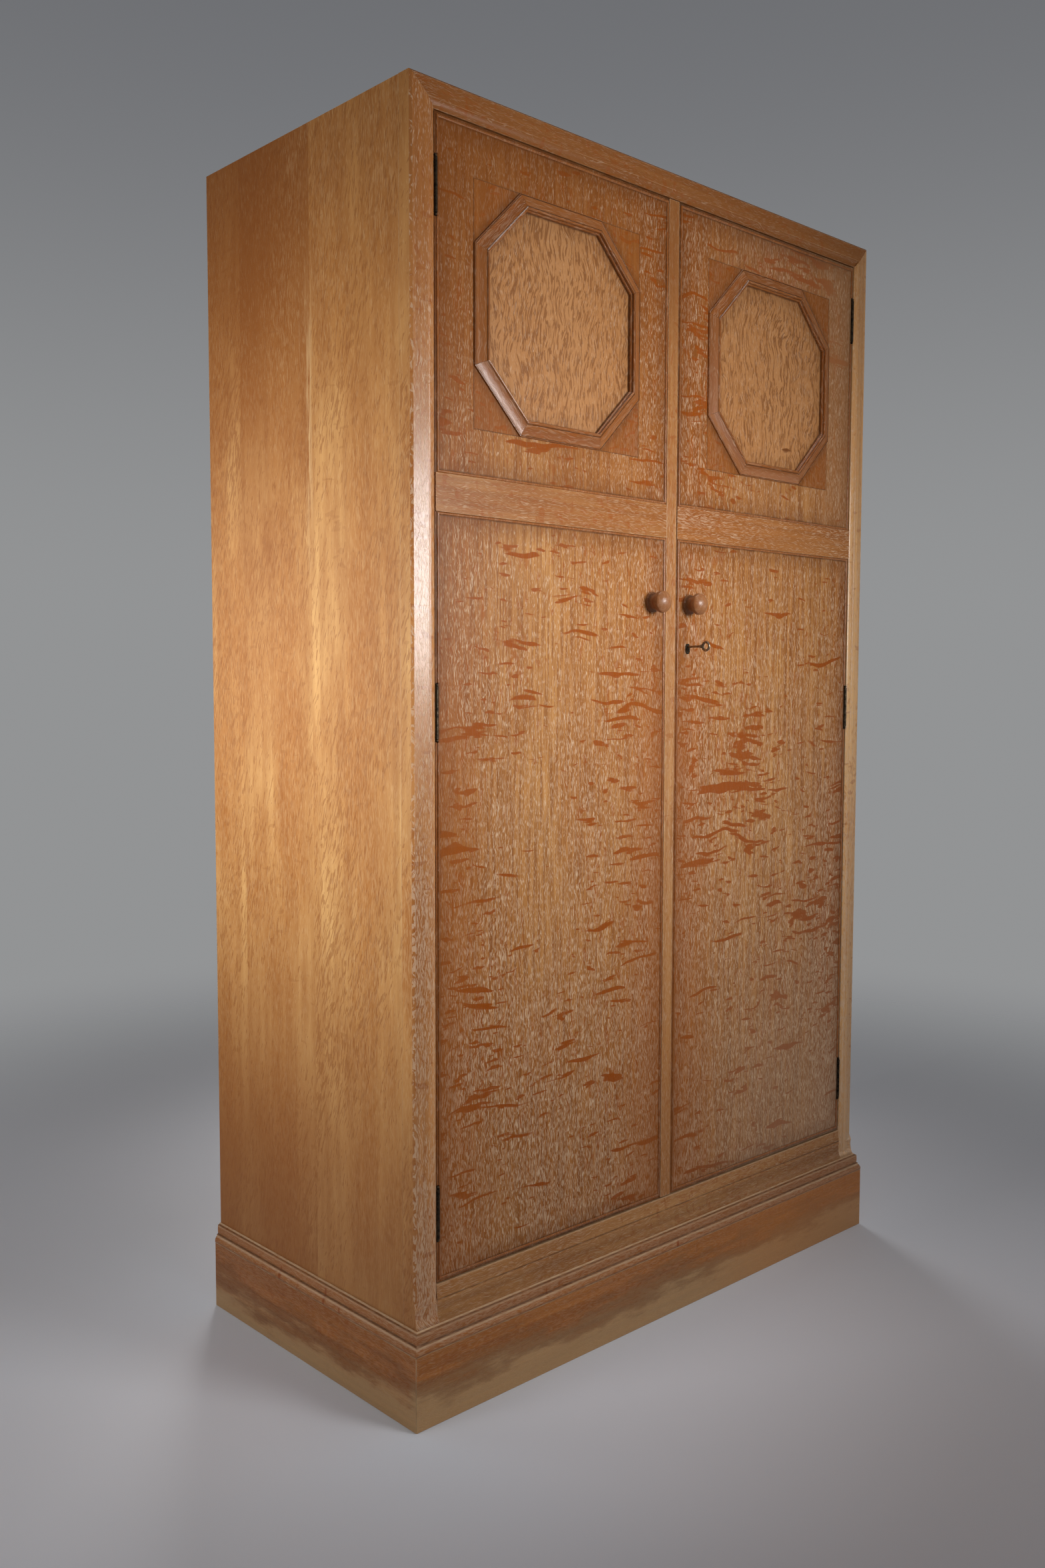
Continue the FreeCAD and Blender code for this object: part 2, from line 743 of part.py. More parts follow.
def doorFront(name, coreX, fieldX, knobX, housing, gaps, extraTools):
    """One door's slab, beads, octagon panel, spandrels, moulding, middle rail and knob."""
    lowX, highX = fieldX
    middle = f"(({lowX} + {highX})/2)"
    ground = ((f"{middle} - octagonHalf", f"{middle} + octagonHalf"), (face, f"{face} + inlayThick"),
              (f"{octagonHeight} - octagonHalf", f"{octagonHeight} + octagonHalf"))
    railY = (f"{face} - railProud", f"{face} + railHousing")
    railZ = (midRailLow, midRailTop)
    keep(f"{name}_mid_rail", block(name + "MidRail", coreX, railY, railZ))
    slab = block(name + "Slab", coreX, (face, doorBack), (doorLow, doorTop))
    tools = [
        block(name + "Ground", *ground),
        block(name + "RailHousing", coreX, railY, railZ),
        rod(name + "KnobHole", "knobTenon + tenonClear", "tenonLength + tenonClear",
            knobX, face, knobHeight, alongY),
        housing,
    ]
    keep(f"{name}_door_slab", cut(name + "DoorSlab", slab, tools + extraTools))

    panel = newBody(name + "Panel", middle, face, octagonHeight)
    pad(panel, outline(panel, "XZ_Plane", octagonCorners("octagonHalf", "octagonCut")), "inlayThick", True)
    keep(f"{name}_octagon_panel", panel)
    keep(f"{name}_spandrels", cut(name + "Spandrels", block(name + "Inlay", *ground), [panel]))
    corners = [(value(f"{middle} + {x}"), value(f"{octagonHeight} + {z}"))
               for x, z in octagonCorners("octagonHalf", "octagonCut")]
    keep(f"{name}_octagon_moulding", solids(name + "OctagonMoulding", mitredLengths(corners, octagonSection)))

    for part, lowZ, highZ in (
        ("upper", midRailTop, f"{doorTop} - beadInset"),
        ("lower", f"{doorLow} + beadInset", midRailLow),
    ):
        field = ((lowX, highZ), (highX, highZ), (highX, lowZ), (lowX, lowZ))
        corners = [(value(x), value(z)) for x, z in field]
        ring = solids(f"{name}{part}Ring", mitredLengths(corners, halfRound))
        keep(f"{name}_{part}_beads", cut(f"{name}{part}Beads", ring, [gaps]))
    keep(f"{name}_knob", knob(name + "Knob", knobX))


# left door, with its closing strip, strike plate and two sliding bolts
leftField = (f"(beadInset - {hingeEdge})", stripLeft)
doorFront("left", (f"-{hingeEdge}", stripLeft), leftField, f"{stripLeft} - knobInset",
          leftHousings, leftBeadGaps, [leftDoorHoles])

strikeLow = f"({boltLow} + boltHeight/2 - strikeHeight/2)"
strikeSpan = (strikeLow, f"{strikeLow} + strikeHeight")
strikeY = (f"{boltMiddle} - strikeWidth/2", f"{boltMiddle} + strikeWidth/2")
mortiseY = (f"{boltMiddle} - boltThick/2 - mortiseClear", f"{boltMiddle} + boltThick/2 + mortiseClear")
mortiseZ = (f"{boltLow} - mortiseClear", f"{boltLow} + boltHeight + mortiseClear")
mortise = block("mortise", (f"{meetLeft} - mortiseDepth", meetLeft), mortiseY, mortiseZ)
strikeX = (f"{meetLeft} - strikeThick", meetLeft)
keep("strike_plate", cut("strikePlate", block("strikeBlank", strikeX, strikeY, strikeSpan), [mortise]))

plateTop = f"({stopLow} - slideInset)"
plateLow = f"({floorTop} + slideInset)"
slidePlates = []
slideScrewPlaces = []
keepers = []
keeperTools = []
for name, middle, way in (("top", plateTop, "1"), ("bottom", plateLow, "-1")):
    plate = block(name + "SlidePlate", (f"{slideX} - slidePlateWidth/2", f"{slideX} + slidePlateWidth/2"),
                  (doorBack, f"{doorBack} + slidePlateThick"),
                  (f"{middle} - slidePlateHeight/2", f"{middle} + slidePlateHeight/2"))
    loops = [plate]
    for end in ("-1", "1"):
        low = f"({middle} + {end}*loopOffset - loopHeight/2)"
        loops.append(block(f"{name}Loop{len(loops)}", (f"{slideX} - loopWidth/2", f"{slideX} + loopWidth/2"),
                           (doorBack, f"{doorBack} + loopDepth + slidePlateThick"),
                           (low, f"{low} + loopHeight")))
        point = vector(slideX, f"{doorBack} + slidePlateThick", f"{middle} + {end}*slideScrewOffset")
        slideScrewPlaces.append((point, FreeCAD.Vector(0, -1, 0)))
    bore = rod(name + "SlideBore", "rodRadius + rodClear", "slidePlateHeight", slideX, slideY,
               f"{middle} - slidePlateHeight/2")
    slidePlates.append(cut(name + "Guide", fuse(name + "GuideBlank", loops), [bore]))
    landing = stopLow if name == "top" else floorTop
    tip = f"({landing} - {way}*rodGap)"
    tail = f"({middle} - {way}*rodTail)"
    low, high = sorted((tail, tip), key=value)
    shaft = rod(name + "Rod", "rodRadius", f"{high} - {low}", slideX, slideY, low)
    handle = rod(name + "Handle", "handleRadius", "handleReach + rodRadius", slideX, slideY,
                 f"{middle} - {way}*handleDrop", alongY)
    keep(f"{name}_bolt", fuse(name + "Bolt", [shaft, handle]))
    keeperEnds = [landing, f"{landing} - {way}*keeperThick"]
    keeperZ = sorted(keeperEnds, key=value)
    hole = rod(name + "KeeperHole", "rodRadius + keeperClear", "2*keeperDepth", slideX, slideY,
               f"{landing} - keeperDepth")
    keeperTools.append(hole)
    keeperPlate = block(name + "KeeperBlank", (f"{slideX} - keeperLength/2", f"{slideX} + keeperLength/2"),
                        (frameBack, f"{frameBack} + stopThick"), keeperZ)
    keepers.append(cut(name + "Keeper", keeperPlate, [hole]))
keep("bolt_keepers", group("boltKeepers", keepers))
slideHoles = holesAt("slideHoles", slideScrewPlaces)
keep("bolt_guides", cut("boltGuides", group("boltGuideBlanks", slidePlates), [slideHoles]))
stopBlank = block("stopBlank", widthInside, (frameBack, f"{frameBack} + stopThick"),
                  (stopLow, "carcassHeight - boardThick"))
keep("top_stop", cut("topStop", stopBlank, keeperTools[:1]))
keep("bottom_panel", cut("bottomPanel", floorBlank, keeperTools[1:]))
strip = block("stripBlank", (stripLeft, meetLeft), (f"{face} - railProud", doorBack), (doorLow, doorTop))
strikeHousing = block("strikeHousing", strikeX, strikeY, strikeSpan)
keep("meeting_strip", cut("meetingStrip", strip, [mortise, strikeHousing, slideHoles]))
keep("left_door_screws", screwsAt("leftDoorScrews", doorScrewPlaces + slideScrewPlaces))

# right door, with its lock, keyhole and key
lockX = (meetRight, f"{meetRight} + lockWidth")
lockY = (lockFront, doorBack)
lockZ = (f"{keyHeight} - lockBelow", f"{keyHeight} + lockAbove")
lockScrewPlaces = []
for rise in ("7 - lockBelow", "lockAbove - 6"):
    lockScrewPlaces.append((vector(f"{meetRight} + lockWidth - 8", doorBack, f"{keyHeight} + {rise}"),
                            FreeCAD.Vector(0, -1, 0)))
lockHoles = holesAt("lockHoles", lockScrewPlaces)


def keyway(name, low, high, room):
    """The round hole for the shank and the slot below it for the bit."""
    radius = f"(keyShank + {room})"
    hole = rod(name + "Hole", radius, f"({high}) - ({low})", keyX, low, keyHeight, alongY)
    slot = block(name + "Slot", (f"{keyX} - bitThick/2 - {room}", f"{keyX} + bitThick/2 + {room}"),
                 (low, high), (f"{keyHeight} - bitRadius - {room}", keyHeight))
    return [hole, slot]


slabKeyway = keyway("slabKeyway", face, lockFront, "keyClear")
rightHoles = mirror("rightDoorHoles", leftDoorHoles)
rightField = (f"({meetRight} + beadInset)", f"({hingeEdge} - beadInset)")
doorFront("right", (meetRight, hingeEdge), rightField, f"{rightField[0]} + knobInset",
          mirror("rightHousings", leftHousings), mirror("rightBeadGaps", leftBeadGaps),
          [rightHoles, block("lockHousing", lockX, lockY, lockZ), lockHoles] + slabKeyway)

cavityFront = f"({lockFront} + lockWall)"
channel = block("boltChannel", (meetRight, f"{meetRight} + boltSunk + boltLength + boltSlack"),
                (f"{boltMiddle} - boltThick/2 - boltSlack", f"{boltMiddle} + boltThick/2 + boltSlack"),
                (f"{boltLow} - boltSlack", f"{boltLow} + boltHeight + boltSlack"))
cavity = rod("keyCavity", "bitRadius + keyClear", "lockDepth - 2*lockWall",
             keyX, cavityFront, keyHeight, alongY)
caseTools = [channel, cavity, lockHoles] + keyway("caseKeyway", lockFront, cavityFront, "keyClear")
keep("lock_case", cut("lockCase", block("lockBlank", lockX, lockY, lockZ), caseTools))
keep("lock_bolt", block("lockBolt", (f"{meetRight} + boltSunk", f"{meetRight} + boltSunk + boltLength"),
                        (f"{boltMiddle} - boltThick/2", f"{boltMiddle} + boltThick/2"),
                        (boltLow, f"{boltLow} + boltHeight")))
hingeScrewsRight = mirror("hingeScrewsRight", screwsAt("hingeScrewsLeft", doorScrewPlaces))
lockScrews = screwsAt("lockScrews", lockScrewPlaces)
keep("right_door_screws", group("rightDoorScrews", [hingeScrewsRight, lockScrews]))

plateRadius = "(escutcheonWidth/2)"
plateReach = "(escutcheonHeight - escutcheonWidth)"
plateY = (f"{face} - escutcheonThick", face)
ends = [rod(f"escutcheon{name}", plateRadius, "escutcheonThick", keyX, plateY[0], z, alongY)
        for name, z in (("Top", keyHeight), ("Foot", f"{keyHeight} - {plateReach}"))]
web = block("escutcheonWeb", (f"{keyX} - {plateRadius}", f"{keyX} + {plateRadius}"), plateY,
            (f"{keyHeight} - {plateReach}", keyHeight))
keep("escutcheon", cut("escutcheonPlate", fuse("escutcheonBlank", ends + [web]),
                       keyway("escutcheonKeyway", plateY[0], face, "keyClear")))

bowY = f"({face} - keyReach + bowRadius + bowWire)"
bitEnd = f"({doorBack} - 2*lockWall)"
bow = doc.addObject("Part::Torus", "keyBow")
bow.setExpression("Radius1", bind("bowRadius"))
bow.setExpression("Radius2", bind("bowWire"))
place(bow, keyX, bowY, keyHeight, alongX)
shank = rod("keyShankRod", "keyShank", f"{bitEnd} - {bowY} - bowRadius", keyX, f"{bowY} + bowRadius",
            keyHeight, alongY)
collar = rod("keyCollar", "keyShank*1.6", "bowWire", keyX, f"{bowY} + bowRadius + bowWire",
             keyHeight, alongY)
bit = block("keyBit", (f"{keyX} - bitThick/2", f"{keyX} + bitThick/2"), (f"{bitEnd} - bitWidth", bitEnd),
            (f"{keyHeight} - bitRadius", keyHeight))
keep("key", fuse("keyWhole", [bow, shank, collar, bit]))

doc.recompute()
for obj in doc.Objects:
    if {"Invalid", "Error"} & set(obj.State):
        raise RuntimeError(f"{obj.Label}: {obj.State}")
for label, obj in nodes.items():
    if obj.Shape.isNull() or not obj.Shape.isValid() or not obj.Shape.Solids:
        raise RuntimeError(label + ": no valid solid")

os.makedirs("parts", exist_ok=True)
for label, obj in nodes.items():
    obj.Shape.exportStep(f"parts/{label}.step")
print(len(nodes), "sub-parts")
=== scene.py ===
import json
import math

import bmesh
import bpy
from mathutils import Matrix, Vector


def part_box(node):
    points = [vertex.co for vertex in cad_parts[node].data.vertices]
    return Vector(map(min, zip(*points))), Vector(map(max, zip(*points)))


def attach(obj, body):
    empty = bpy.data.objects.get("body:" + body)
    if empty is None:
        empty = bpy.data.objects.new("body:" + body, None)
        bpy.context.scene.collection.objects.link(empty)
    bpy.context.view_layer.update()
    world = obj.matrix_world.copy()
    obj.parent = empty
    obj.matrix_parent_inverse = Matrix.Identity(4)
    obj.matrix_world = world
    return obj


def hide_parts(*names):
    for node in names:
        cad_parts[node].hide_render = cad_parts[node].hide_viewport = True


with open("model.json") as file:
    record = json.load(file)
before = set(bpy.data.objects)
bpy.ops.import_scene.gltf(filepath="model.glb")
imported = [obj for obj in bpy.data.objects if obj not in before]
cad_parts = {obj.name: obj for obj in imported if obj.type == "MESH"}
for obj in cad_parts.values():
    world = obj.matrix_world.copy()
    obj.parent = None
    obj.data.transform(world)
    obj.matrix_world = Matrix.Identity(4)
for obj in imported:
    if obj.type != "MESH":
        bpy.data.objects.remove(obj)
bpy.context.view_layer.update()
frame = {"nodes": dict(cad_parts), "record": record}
nodes = frame["nodes"]
bodyOf = {node: body for body, members in frame["record"]["behaviour"]["bodies"].items() for node in members}
print("frame loaded:", len(nodes), "nodes")


# shader node helpers

def addNode(tree, kind, inputs=None, **settings):
    node = tree.nodes.new(kind)
    for key, setting in settings.items():
        setattr(node, key, setting)
    for key, given in (inputs or {}).items():
        if isinstance(given, bpy.types.NodeSocket):
            tree.links.new(given, node.inputs[key])
        else:
            node.inputs[key].default_value = given
    return node


def calc(tree, operation, *terms, clamp=False):
    node = addNode(tree, "ShaderNodeMath", dict(enumerate(terms)), operation=operation, use_clamp=clamp)
    return node.outputs[0]


def plus(tree, first, second, clamp=False):
    return calc(tree, "ADD", first, second, clamp=clamp)


def minus(tree, first, second):
    return calc(tree, "SUBTRACT", first, second)


def times(tree, first, second):
    return calc(tree, "MULTIPLY", first, second)


def apart(tree, first, second):
    return calc(tree, "ABSOLUTE", minus(tree, first, second))


def vectorCalc(tree, operation, first, second):
    return addNode(tree, "ShaderNodeVectorMath", {0: first, 1: second}, operation=operation).outputs[0]


def mixColor(tree, factor, first, second):
    node = addNode(tree, "ShaderNodeMix", {0: factor, 6: first, 7: second}, data_type="RGBA", blend_type="MIX")
    return node.outputs[2]


def ramp(tree, given, low, high, start=0.0, end=1.0):
    node = addNode(tree, "ShaderNodeMapRange", {"Value": given, "From Min": low, "From Max": high,
                   "To Min": start, "To Max": end}, interpolation_type="SMOOTHSTEP")
    return node.outputs[0]


def fade(tree, given, low, high):
    return ramp(tree, given, low, high, start=1.0, end=0.0)


def noise(tree, vector, scale=1.0, detail=2.0, roughness=0.5, distortion=0.0, output="Fac"):
    return addNode(tree, "ShaderNodeTexNoise", {"Vector": vector, "Scale": scale, "Detail": detail,
                   "Roughness": roughness, "Distortion": distortion}).outputs[output]


def stretched(tree, vector, across, through, along):
    cell = addNode(tree, "ShaderNodeCombineXYZ", {0: across, 1: through, 2: along})
    return vectorCalc(tree, "DIVIDE", vector, cell.outputs[0])


def swayed(tree, vector, scale, reach):
    centred = vectorCalc(tree, "SUBTRACT", noise(tree, vector, scale, output="Color"), (0.5, 0.5, 0.5))
    shift = addNode(tree, "ShaderNodeVectorMath", {0: centred, "Scale": reach}, operation="SCALE").outputs[0]
    return vectorCalc(tree, "ADD", vector, shift)


def newGroup(name, ins, outs):
    tree = bpy.data.node_groups.new(name, "ShaderNodeTree")
    for label, kind, preset in ins:
        socket = tree.interface.new_socket(label, in_out="INPUT", socket_type="NodeSocket" + kind)
        if preset is not None:
            socket.default_value = preset
    for label, kind in outs:
        tree.interface.new_socket(label, in_out="OUTPUT", socket_type="NodeSocket" + kind)
    return tree, tree.nodes.new("NodeGroupInput").outputs, tree.nodes.new("NodeGroupOutput").inputs


# shared effects; the wood vector is (across, through, along) the grain in metres

fleckForm = {"swayScale": 9.0, "depth": 0.05, "clumpCell": (0.16, 0.3, 0.34), "bareLevel": 0.74,
             "coverReach": 0.25, "softness": 0.04}


def makeRayFleck():
    tree, given, out = newGroup("rayFleck", [
        ("Wood", "Vector", None), ("Length", "Float", 0.03), ("Thickness", "Float", 0.008),
        ("Cover", "Float", 0.5), ("Sway", "Float", 0.01), ("Clumps", "Float", 0.2)], [("Mask", "Float")])
    moved = swayed(tree, given["Wood"], fleckForm["swayScale"], given["Sway"])
    cell = stretched(tree, moved, given["Length"], fleckForm["depth"], given["Thickness"])
    cells = noise(tree, cell, detail=1.6, distortion=0.25)
    clumps = noise(tree, stretched(tree, given["Wood"], *fleckForm["clumpCell"]), detail=1.0)
    level = plus(tree, cells, times(tree, minus(tree, clumps, 0.5), given["Clumps"]))
    edge = minus(tree, fleckForm["bareLevel"], times(tree, given["Cover"], fleckForm["coverReach"]))
    tree.links.new(ramp(tree, level, edge, plus(tree, edge, fleckForm["softness"])), out["Mask"])
    return tree


poreForm = {"depth": 5.0, "rippleScale": 28.0, "bareLevel": 0.75, "coverReach": 0.35, "softness": 0.1}


def makeLimedPores():
    tree, given, out = newGroup("limedPores", [
        ("Wood", "Vector", None), ("Width", "Float", 0.001), ("Length", "Float", 0.016),
        ("Cover", "Float", 0.5), ("Ripple", "Float", 0.0)], [("Mask", "Float")])
    deep = times(tree, given["Width"], poreForm["depth"])
    rippled = swayed(tree, given["Wood"], poreForm["rippleScale"], given["Ripple"])
    cell = stretched(tree, rippled, given["Width"], deep, given["Length"])
    cells = noise(tree, cell, detail=1.5, roughness=0.6)
    edge = minus(tree, poreForm["bareLevel"], times(tree, given["Cover"], poreForm["coverReach"]))
    tree.links.new(ramp(tree, cells, edge, plus(tree, edge, poreForm["softness"])), out["Mask"])
    return tree


ringForm = {"depth": 3.0, "levels": (0.3, 0.7)}


def makeGrowthRings():
    tree, given, out = newGroup("growthRings", [
        ("Wood", "Vector", None), ("Spacing", "Float", 0.004), ("Reach", "Float", 0.55)], [("Value", "Float")])
    deep = times(tree, given["Spacing"], ringForm["depth"])
    cell = stretched(tree, given["Wood"], given["Spacing"], deep, given["Reach"])
    lines = noise(tree, cell, detail=3.0, roughness=0.6)
    tree.links.new(ramp(tree, lines, *ringForm["levels"]), out["Value"])
    return tree


shadeForm = {"cell": (0.11, 0.3, 0.42), "levels": (0.28, 0.72)}


def makeBoardShade():
    tree, given, out = newGroup("boardShade", [
        ("Wood", "Vector", None), ("Scale", "Float", 1.0)], [("Value", "Float")])
    cell = stretched(tree, given["Wood"], *shadeForm["cell"])
    clouds = noise(tree, cell, given["Scale"], detail=2.5, roughness=0.55)
    tree.links.new(ramp(tree, clouds, *shadeForm["levels"]), out["Value"])
    return tree


# dust and painted shade: a patchy dark mask along a joint, a crease or a groove
dustAndShadeForm = {"scale": 60.0, "levels": (0.2, 0.65), "least": 0.45}


def makeDustAndShade():
    tree, given, out = newGroup("creviceDustAndShade", [
        ("Distance", "Float", 1.0), ("Width", "Float", 0.004), ("Wood", "Vector", None)], [("Mask", "Float")])
    near = fade(tree, given["Distance"], 0.0, given["Width"])
    patchy = ramp(tree, noise(tree, given["Wood"], dustAndShadeForm["scale"]), *dustAndShadeForm["levels"], dustAndShadeForm["least"])
    tree.links.new(times(tree, near, patchy), out["Mask"])
    return tree


# worn edges and painted highlight: the eased arrises are lightened in patches to the edge colour
wearAndHighlightForm = {"scale": 24.0, "levels": (0.35, 0.65), "least": 0.25}


def makeEdgeWearAndHighlight():
    tree, given, out = newGroup("edgeWearAndHighlight", [
        ("Edge", "Float", 0.0), ("Wood", "Vector", None)], [("Mask", "Float")])
    clouds = noise(tree, given["Wood"], wearAndHighlightForm["scale"], detail=3.0, roughness=0.6)
    wornAndHighlighted = ramp(tree, clouds, *wearAndHighlightForm["levels"], wearAndHighlightForm["least"])
    tree.links.new(times(tree, given["Edge"], wornAndHighlighted), out["Mask"])
    return tree


# painted shade: the upper part of a surface is darkened, as the light falls off towards the top
upperForm = {"cell": (0.12, 0.12, 0.3), "wander": 0.6, "heights": (1.1, 1.7)}


def makeUpperPart():
    tree, given, out = newGroup("upperPart", [
        ("Height", "Float", 0.0), ("Wood", "Vector", None)], [("Mask", "Float")])
    drift = noise(tree, stretched(tree, given["Wood"], *upperForm["cell"]))
    wander = times(tree, minus(tree, drift, 0.5), upperForm["wander"])
    height = plus(tree, given["Height"], wander)
    tree.links.new(ramp(tree, height, *upperForm["heights"]), out["Mask"])
    return tree


patinaForm = {"levels": (0.35, 0.68), "grainScale": 6.0}


def makePatina():
    tree, given, out = newGroup("metalPatina", [
        ("Place", "Vector", None), ("Scale", "Float", 100.0)], [("Patina", "Float"), ("Grain", "Float")])
    clouds = noise(tree, given["Place"], given["Scale"], detail=4.0, roughness=0.6)
    tree.links.new(ramp(tree, clouds, *patinaForm["levels"]), out["Patina"])
    grain = noise(tree, given["Place"], times(tree, given["Scale"], patinaForm["grainScale"]))
    tree.links.new(grain, out["Grain"])
    return tree


effects = {
    "fleck": makeRayFleck(), "pores": makeLimedPores(), "rings": makeGrowthRings(), "shade": makeBoardShade(),
    "dustAndShade": makeDustAndShade(), "wear": makeEdgeWearAndHighlight(), "upper": makeUpperPart(), "patina": makePatina(),
}


def effect(tree, name, output=0, **inputs):
    return addNode(tree, "ShaderNodeGroup", inputs, node_tree=effects[name]).outputs[output]


# door fields and octagons, for the dust and painted shade lines beside the mouldings; their places are read from
# the imported pieces

def nodeSpan(name, axis):
    low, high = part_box(name)
    return low[axis], high[axis]


def nodeMiddle(name, axis):
    return sum(nodeSpan(name, axis)) / 2


beadWidth = 0.004
fieldEdges = {
    "left": nodeSpan("left_lower_beads", 0), "right": nodeSpan("right_lower_beads", 0),
    "lower": nodeSpan("left_lower_beads", 2), "upper": nodeSpan("left_upper_beads", 2),
}
octagon = {
    "half": 0.168, "cut": 0.086, "width": 0.024, "left": nodeMiddle("left_octagon_panel", 0),
    "right": nodeMiddle("right_octagon_panel", 0), "height": nodeMiddle("left_octagon_panel", 2),
    "mitreGap": 0.00012, "lengthShift": 0.7, "smoothAngle": 24,
}


def insideSpan(tree, place, span):
    return calc(tree, "MINIMUM", minus(tree, place, span[0]), minus(tree, span[1], place))


def insideEither(tree, place, first, second):
    fromFirst = insideSpan(tree, place, fieldEdges[first])
    return calc(tree, "MAXIMUM", fromFirst, insideSpan(tree, place, fieldEdges[second]))


def sideDistance(tree, x):
    return insideEither(tree, x, "left", "right")


def makeOctagonLines():
    tree, given, out = newGroup("octagonLines", [("X", "Float", 0.0), ("Z", "Float", 0.0)],
                                [("Octagon", "Float"), ("Square", "Float")])
    far = calc(tree, "MINIMUM", apart(tree, given["X"], octagon["left"]), apart(tree, given["X"], octagon["right"]))
    high = apart(tree, given["Z"], octagon["height"])
    flat = minus(tree, calc(tree, "MAXIMUM", far, high), octagon["half"])
    reach = 2 * octagon["half"] - octagon["cut"]
    slant = times(tree, minus(tree, plus(tree, far, high), reach), math.sqrt(0.5))
    tree.links.new(calc(tree, "MAXIMUM", flat, slant), out["Octagon"])
    tree.links.new(calc(tree, "ABSOLUTE", flat), out["Square"])
    return tree


effects["octagonLines"] = makeOctagonLines()
print("effects:", len(effects))


# oak finishes; overlays are masks laid over the figure, each with its colour and share

oakGround = {
    "ground": (0.32, 0.100, 0.020, 1), "deep": (0.20, 0.058, 0.010, 1), "pale": (0.53, 0.262, 0.082, 1),
    "lime": (0.66, 0.455, 0.295, 1), "fleck": (0.29, 0.064, 0.004, 1), "dustAndShade": (0.066, 0.026, 0.010, 1),
    # dust is the colour of dust in the joints and of the painted shade in creases and grooves
    "stain": (0.13, 0.036, 0.007, 1), "edge": (0.62, 0.41, 0.24, 1), "warm": (0.36, 0.122, 0.022, 1),
    "ringSpacing": 0.008, "ringReach": 0.55, "ringShare": 0.4, "mottleShare": 0.0, "paleShare": 0.9,
    # topShare and topDeep paint shade on the upper part
    "edgeZone": 0.0, "topShare": 0.0, "topDeep": 0.0, "footShare": 0.0, "footFlecks": 0.0,
    "poreWidth": 0.0011, "poreLength": 0.010, "poreRipple": 0.014, "poreCover": 0.5, "poreSpread": 0.3,
    "poreLow": 0.12, "poreShare": 0.8,
    "fleckLength": 0.105, "fleckThickness": 0.0132, "fleckCover": 0.365, "fleckSway": 0.045,
    "fleckClumps": 0.2, "fleckShare": 1.0,
    "dashLength": 0.036, "dashThickness": 0.0095, "dashCover": 0.35, "dashSway": 0.03,
    "dashClumps": 0.35, "dashShare": 0.95,
    "waveLength": 0.0085, "waveThickness": 0.026, "waveCover": 0.5, "waveSway": 0.06,
    "waveClumps": 0.35, "waveShare": 0.5, "waveSlant": 0.0,
    # the edge colour and wearShare give the arrises wear and a painted highlight
    "wearShare": 0.5, "dustAndShadeShare": 0.8, "roughness": 0.40, "specular": 0.4, "coat": 0.0, "coatRoughness": 0.3,
    "bump": 0.4, "bumpDepth": 0.0008,
}
oakForm = {
    "streakyEdge": (0.02, 0.12), "limedHeights": (0.2, 1.5), "footHeights": (0.3, 0.9), "fleckBreak": 0.1,
    "lowWarmth": 0.35, "mottleScale": 3.6, "topLime": 0.4, "groundRough": -0.04, "poreRough": 0.14,
    "fleckGloss": 0.06, "ringRelief": 0.3,
}


def towardsTop(tree, spot, wood):
    return effect(tree, "upper", Height=spot["Z"], Wood=wood)


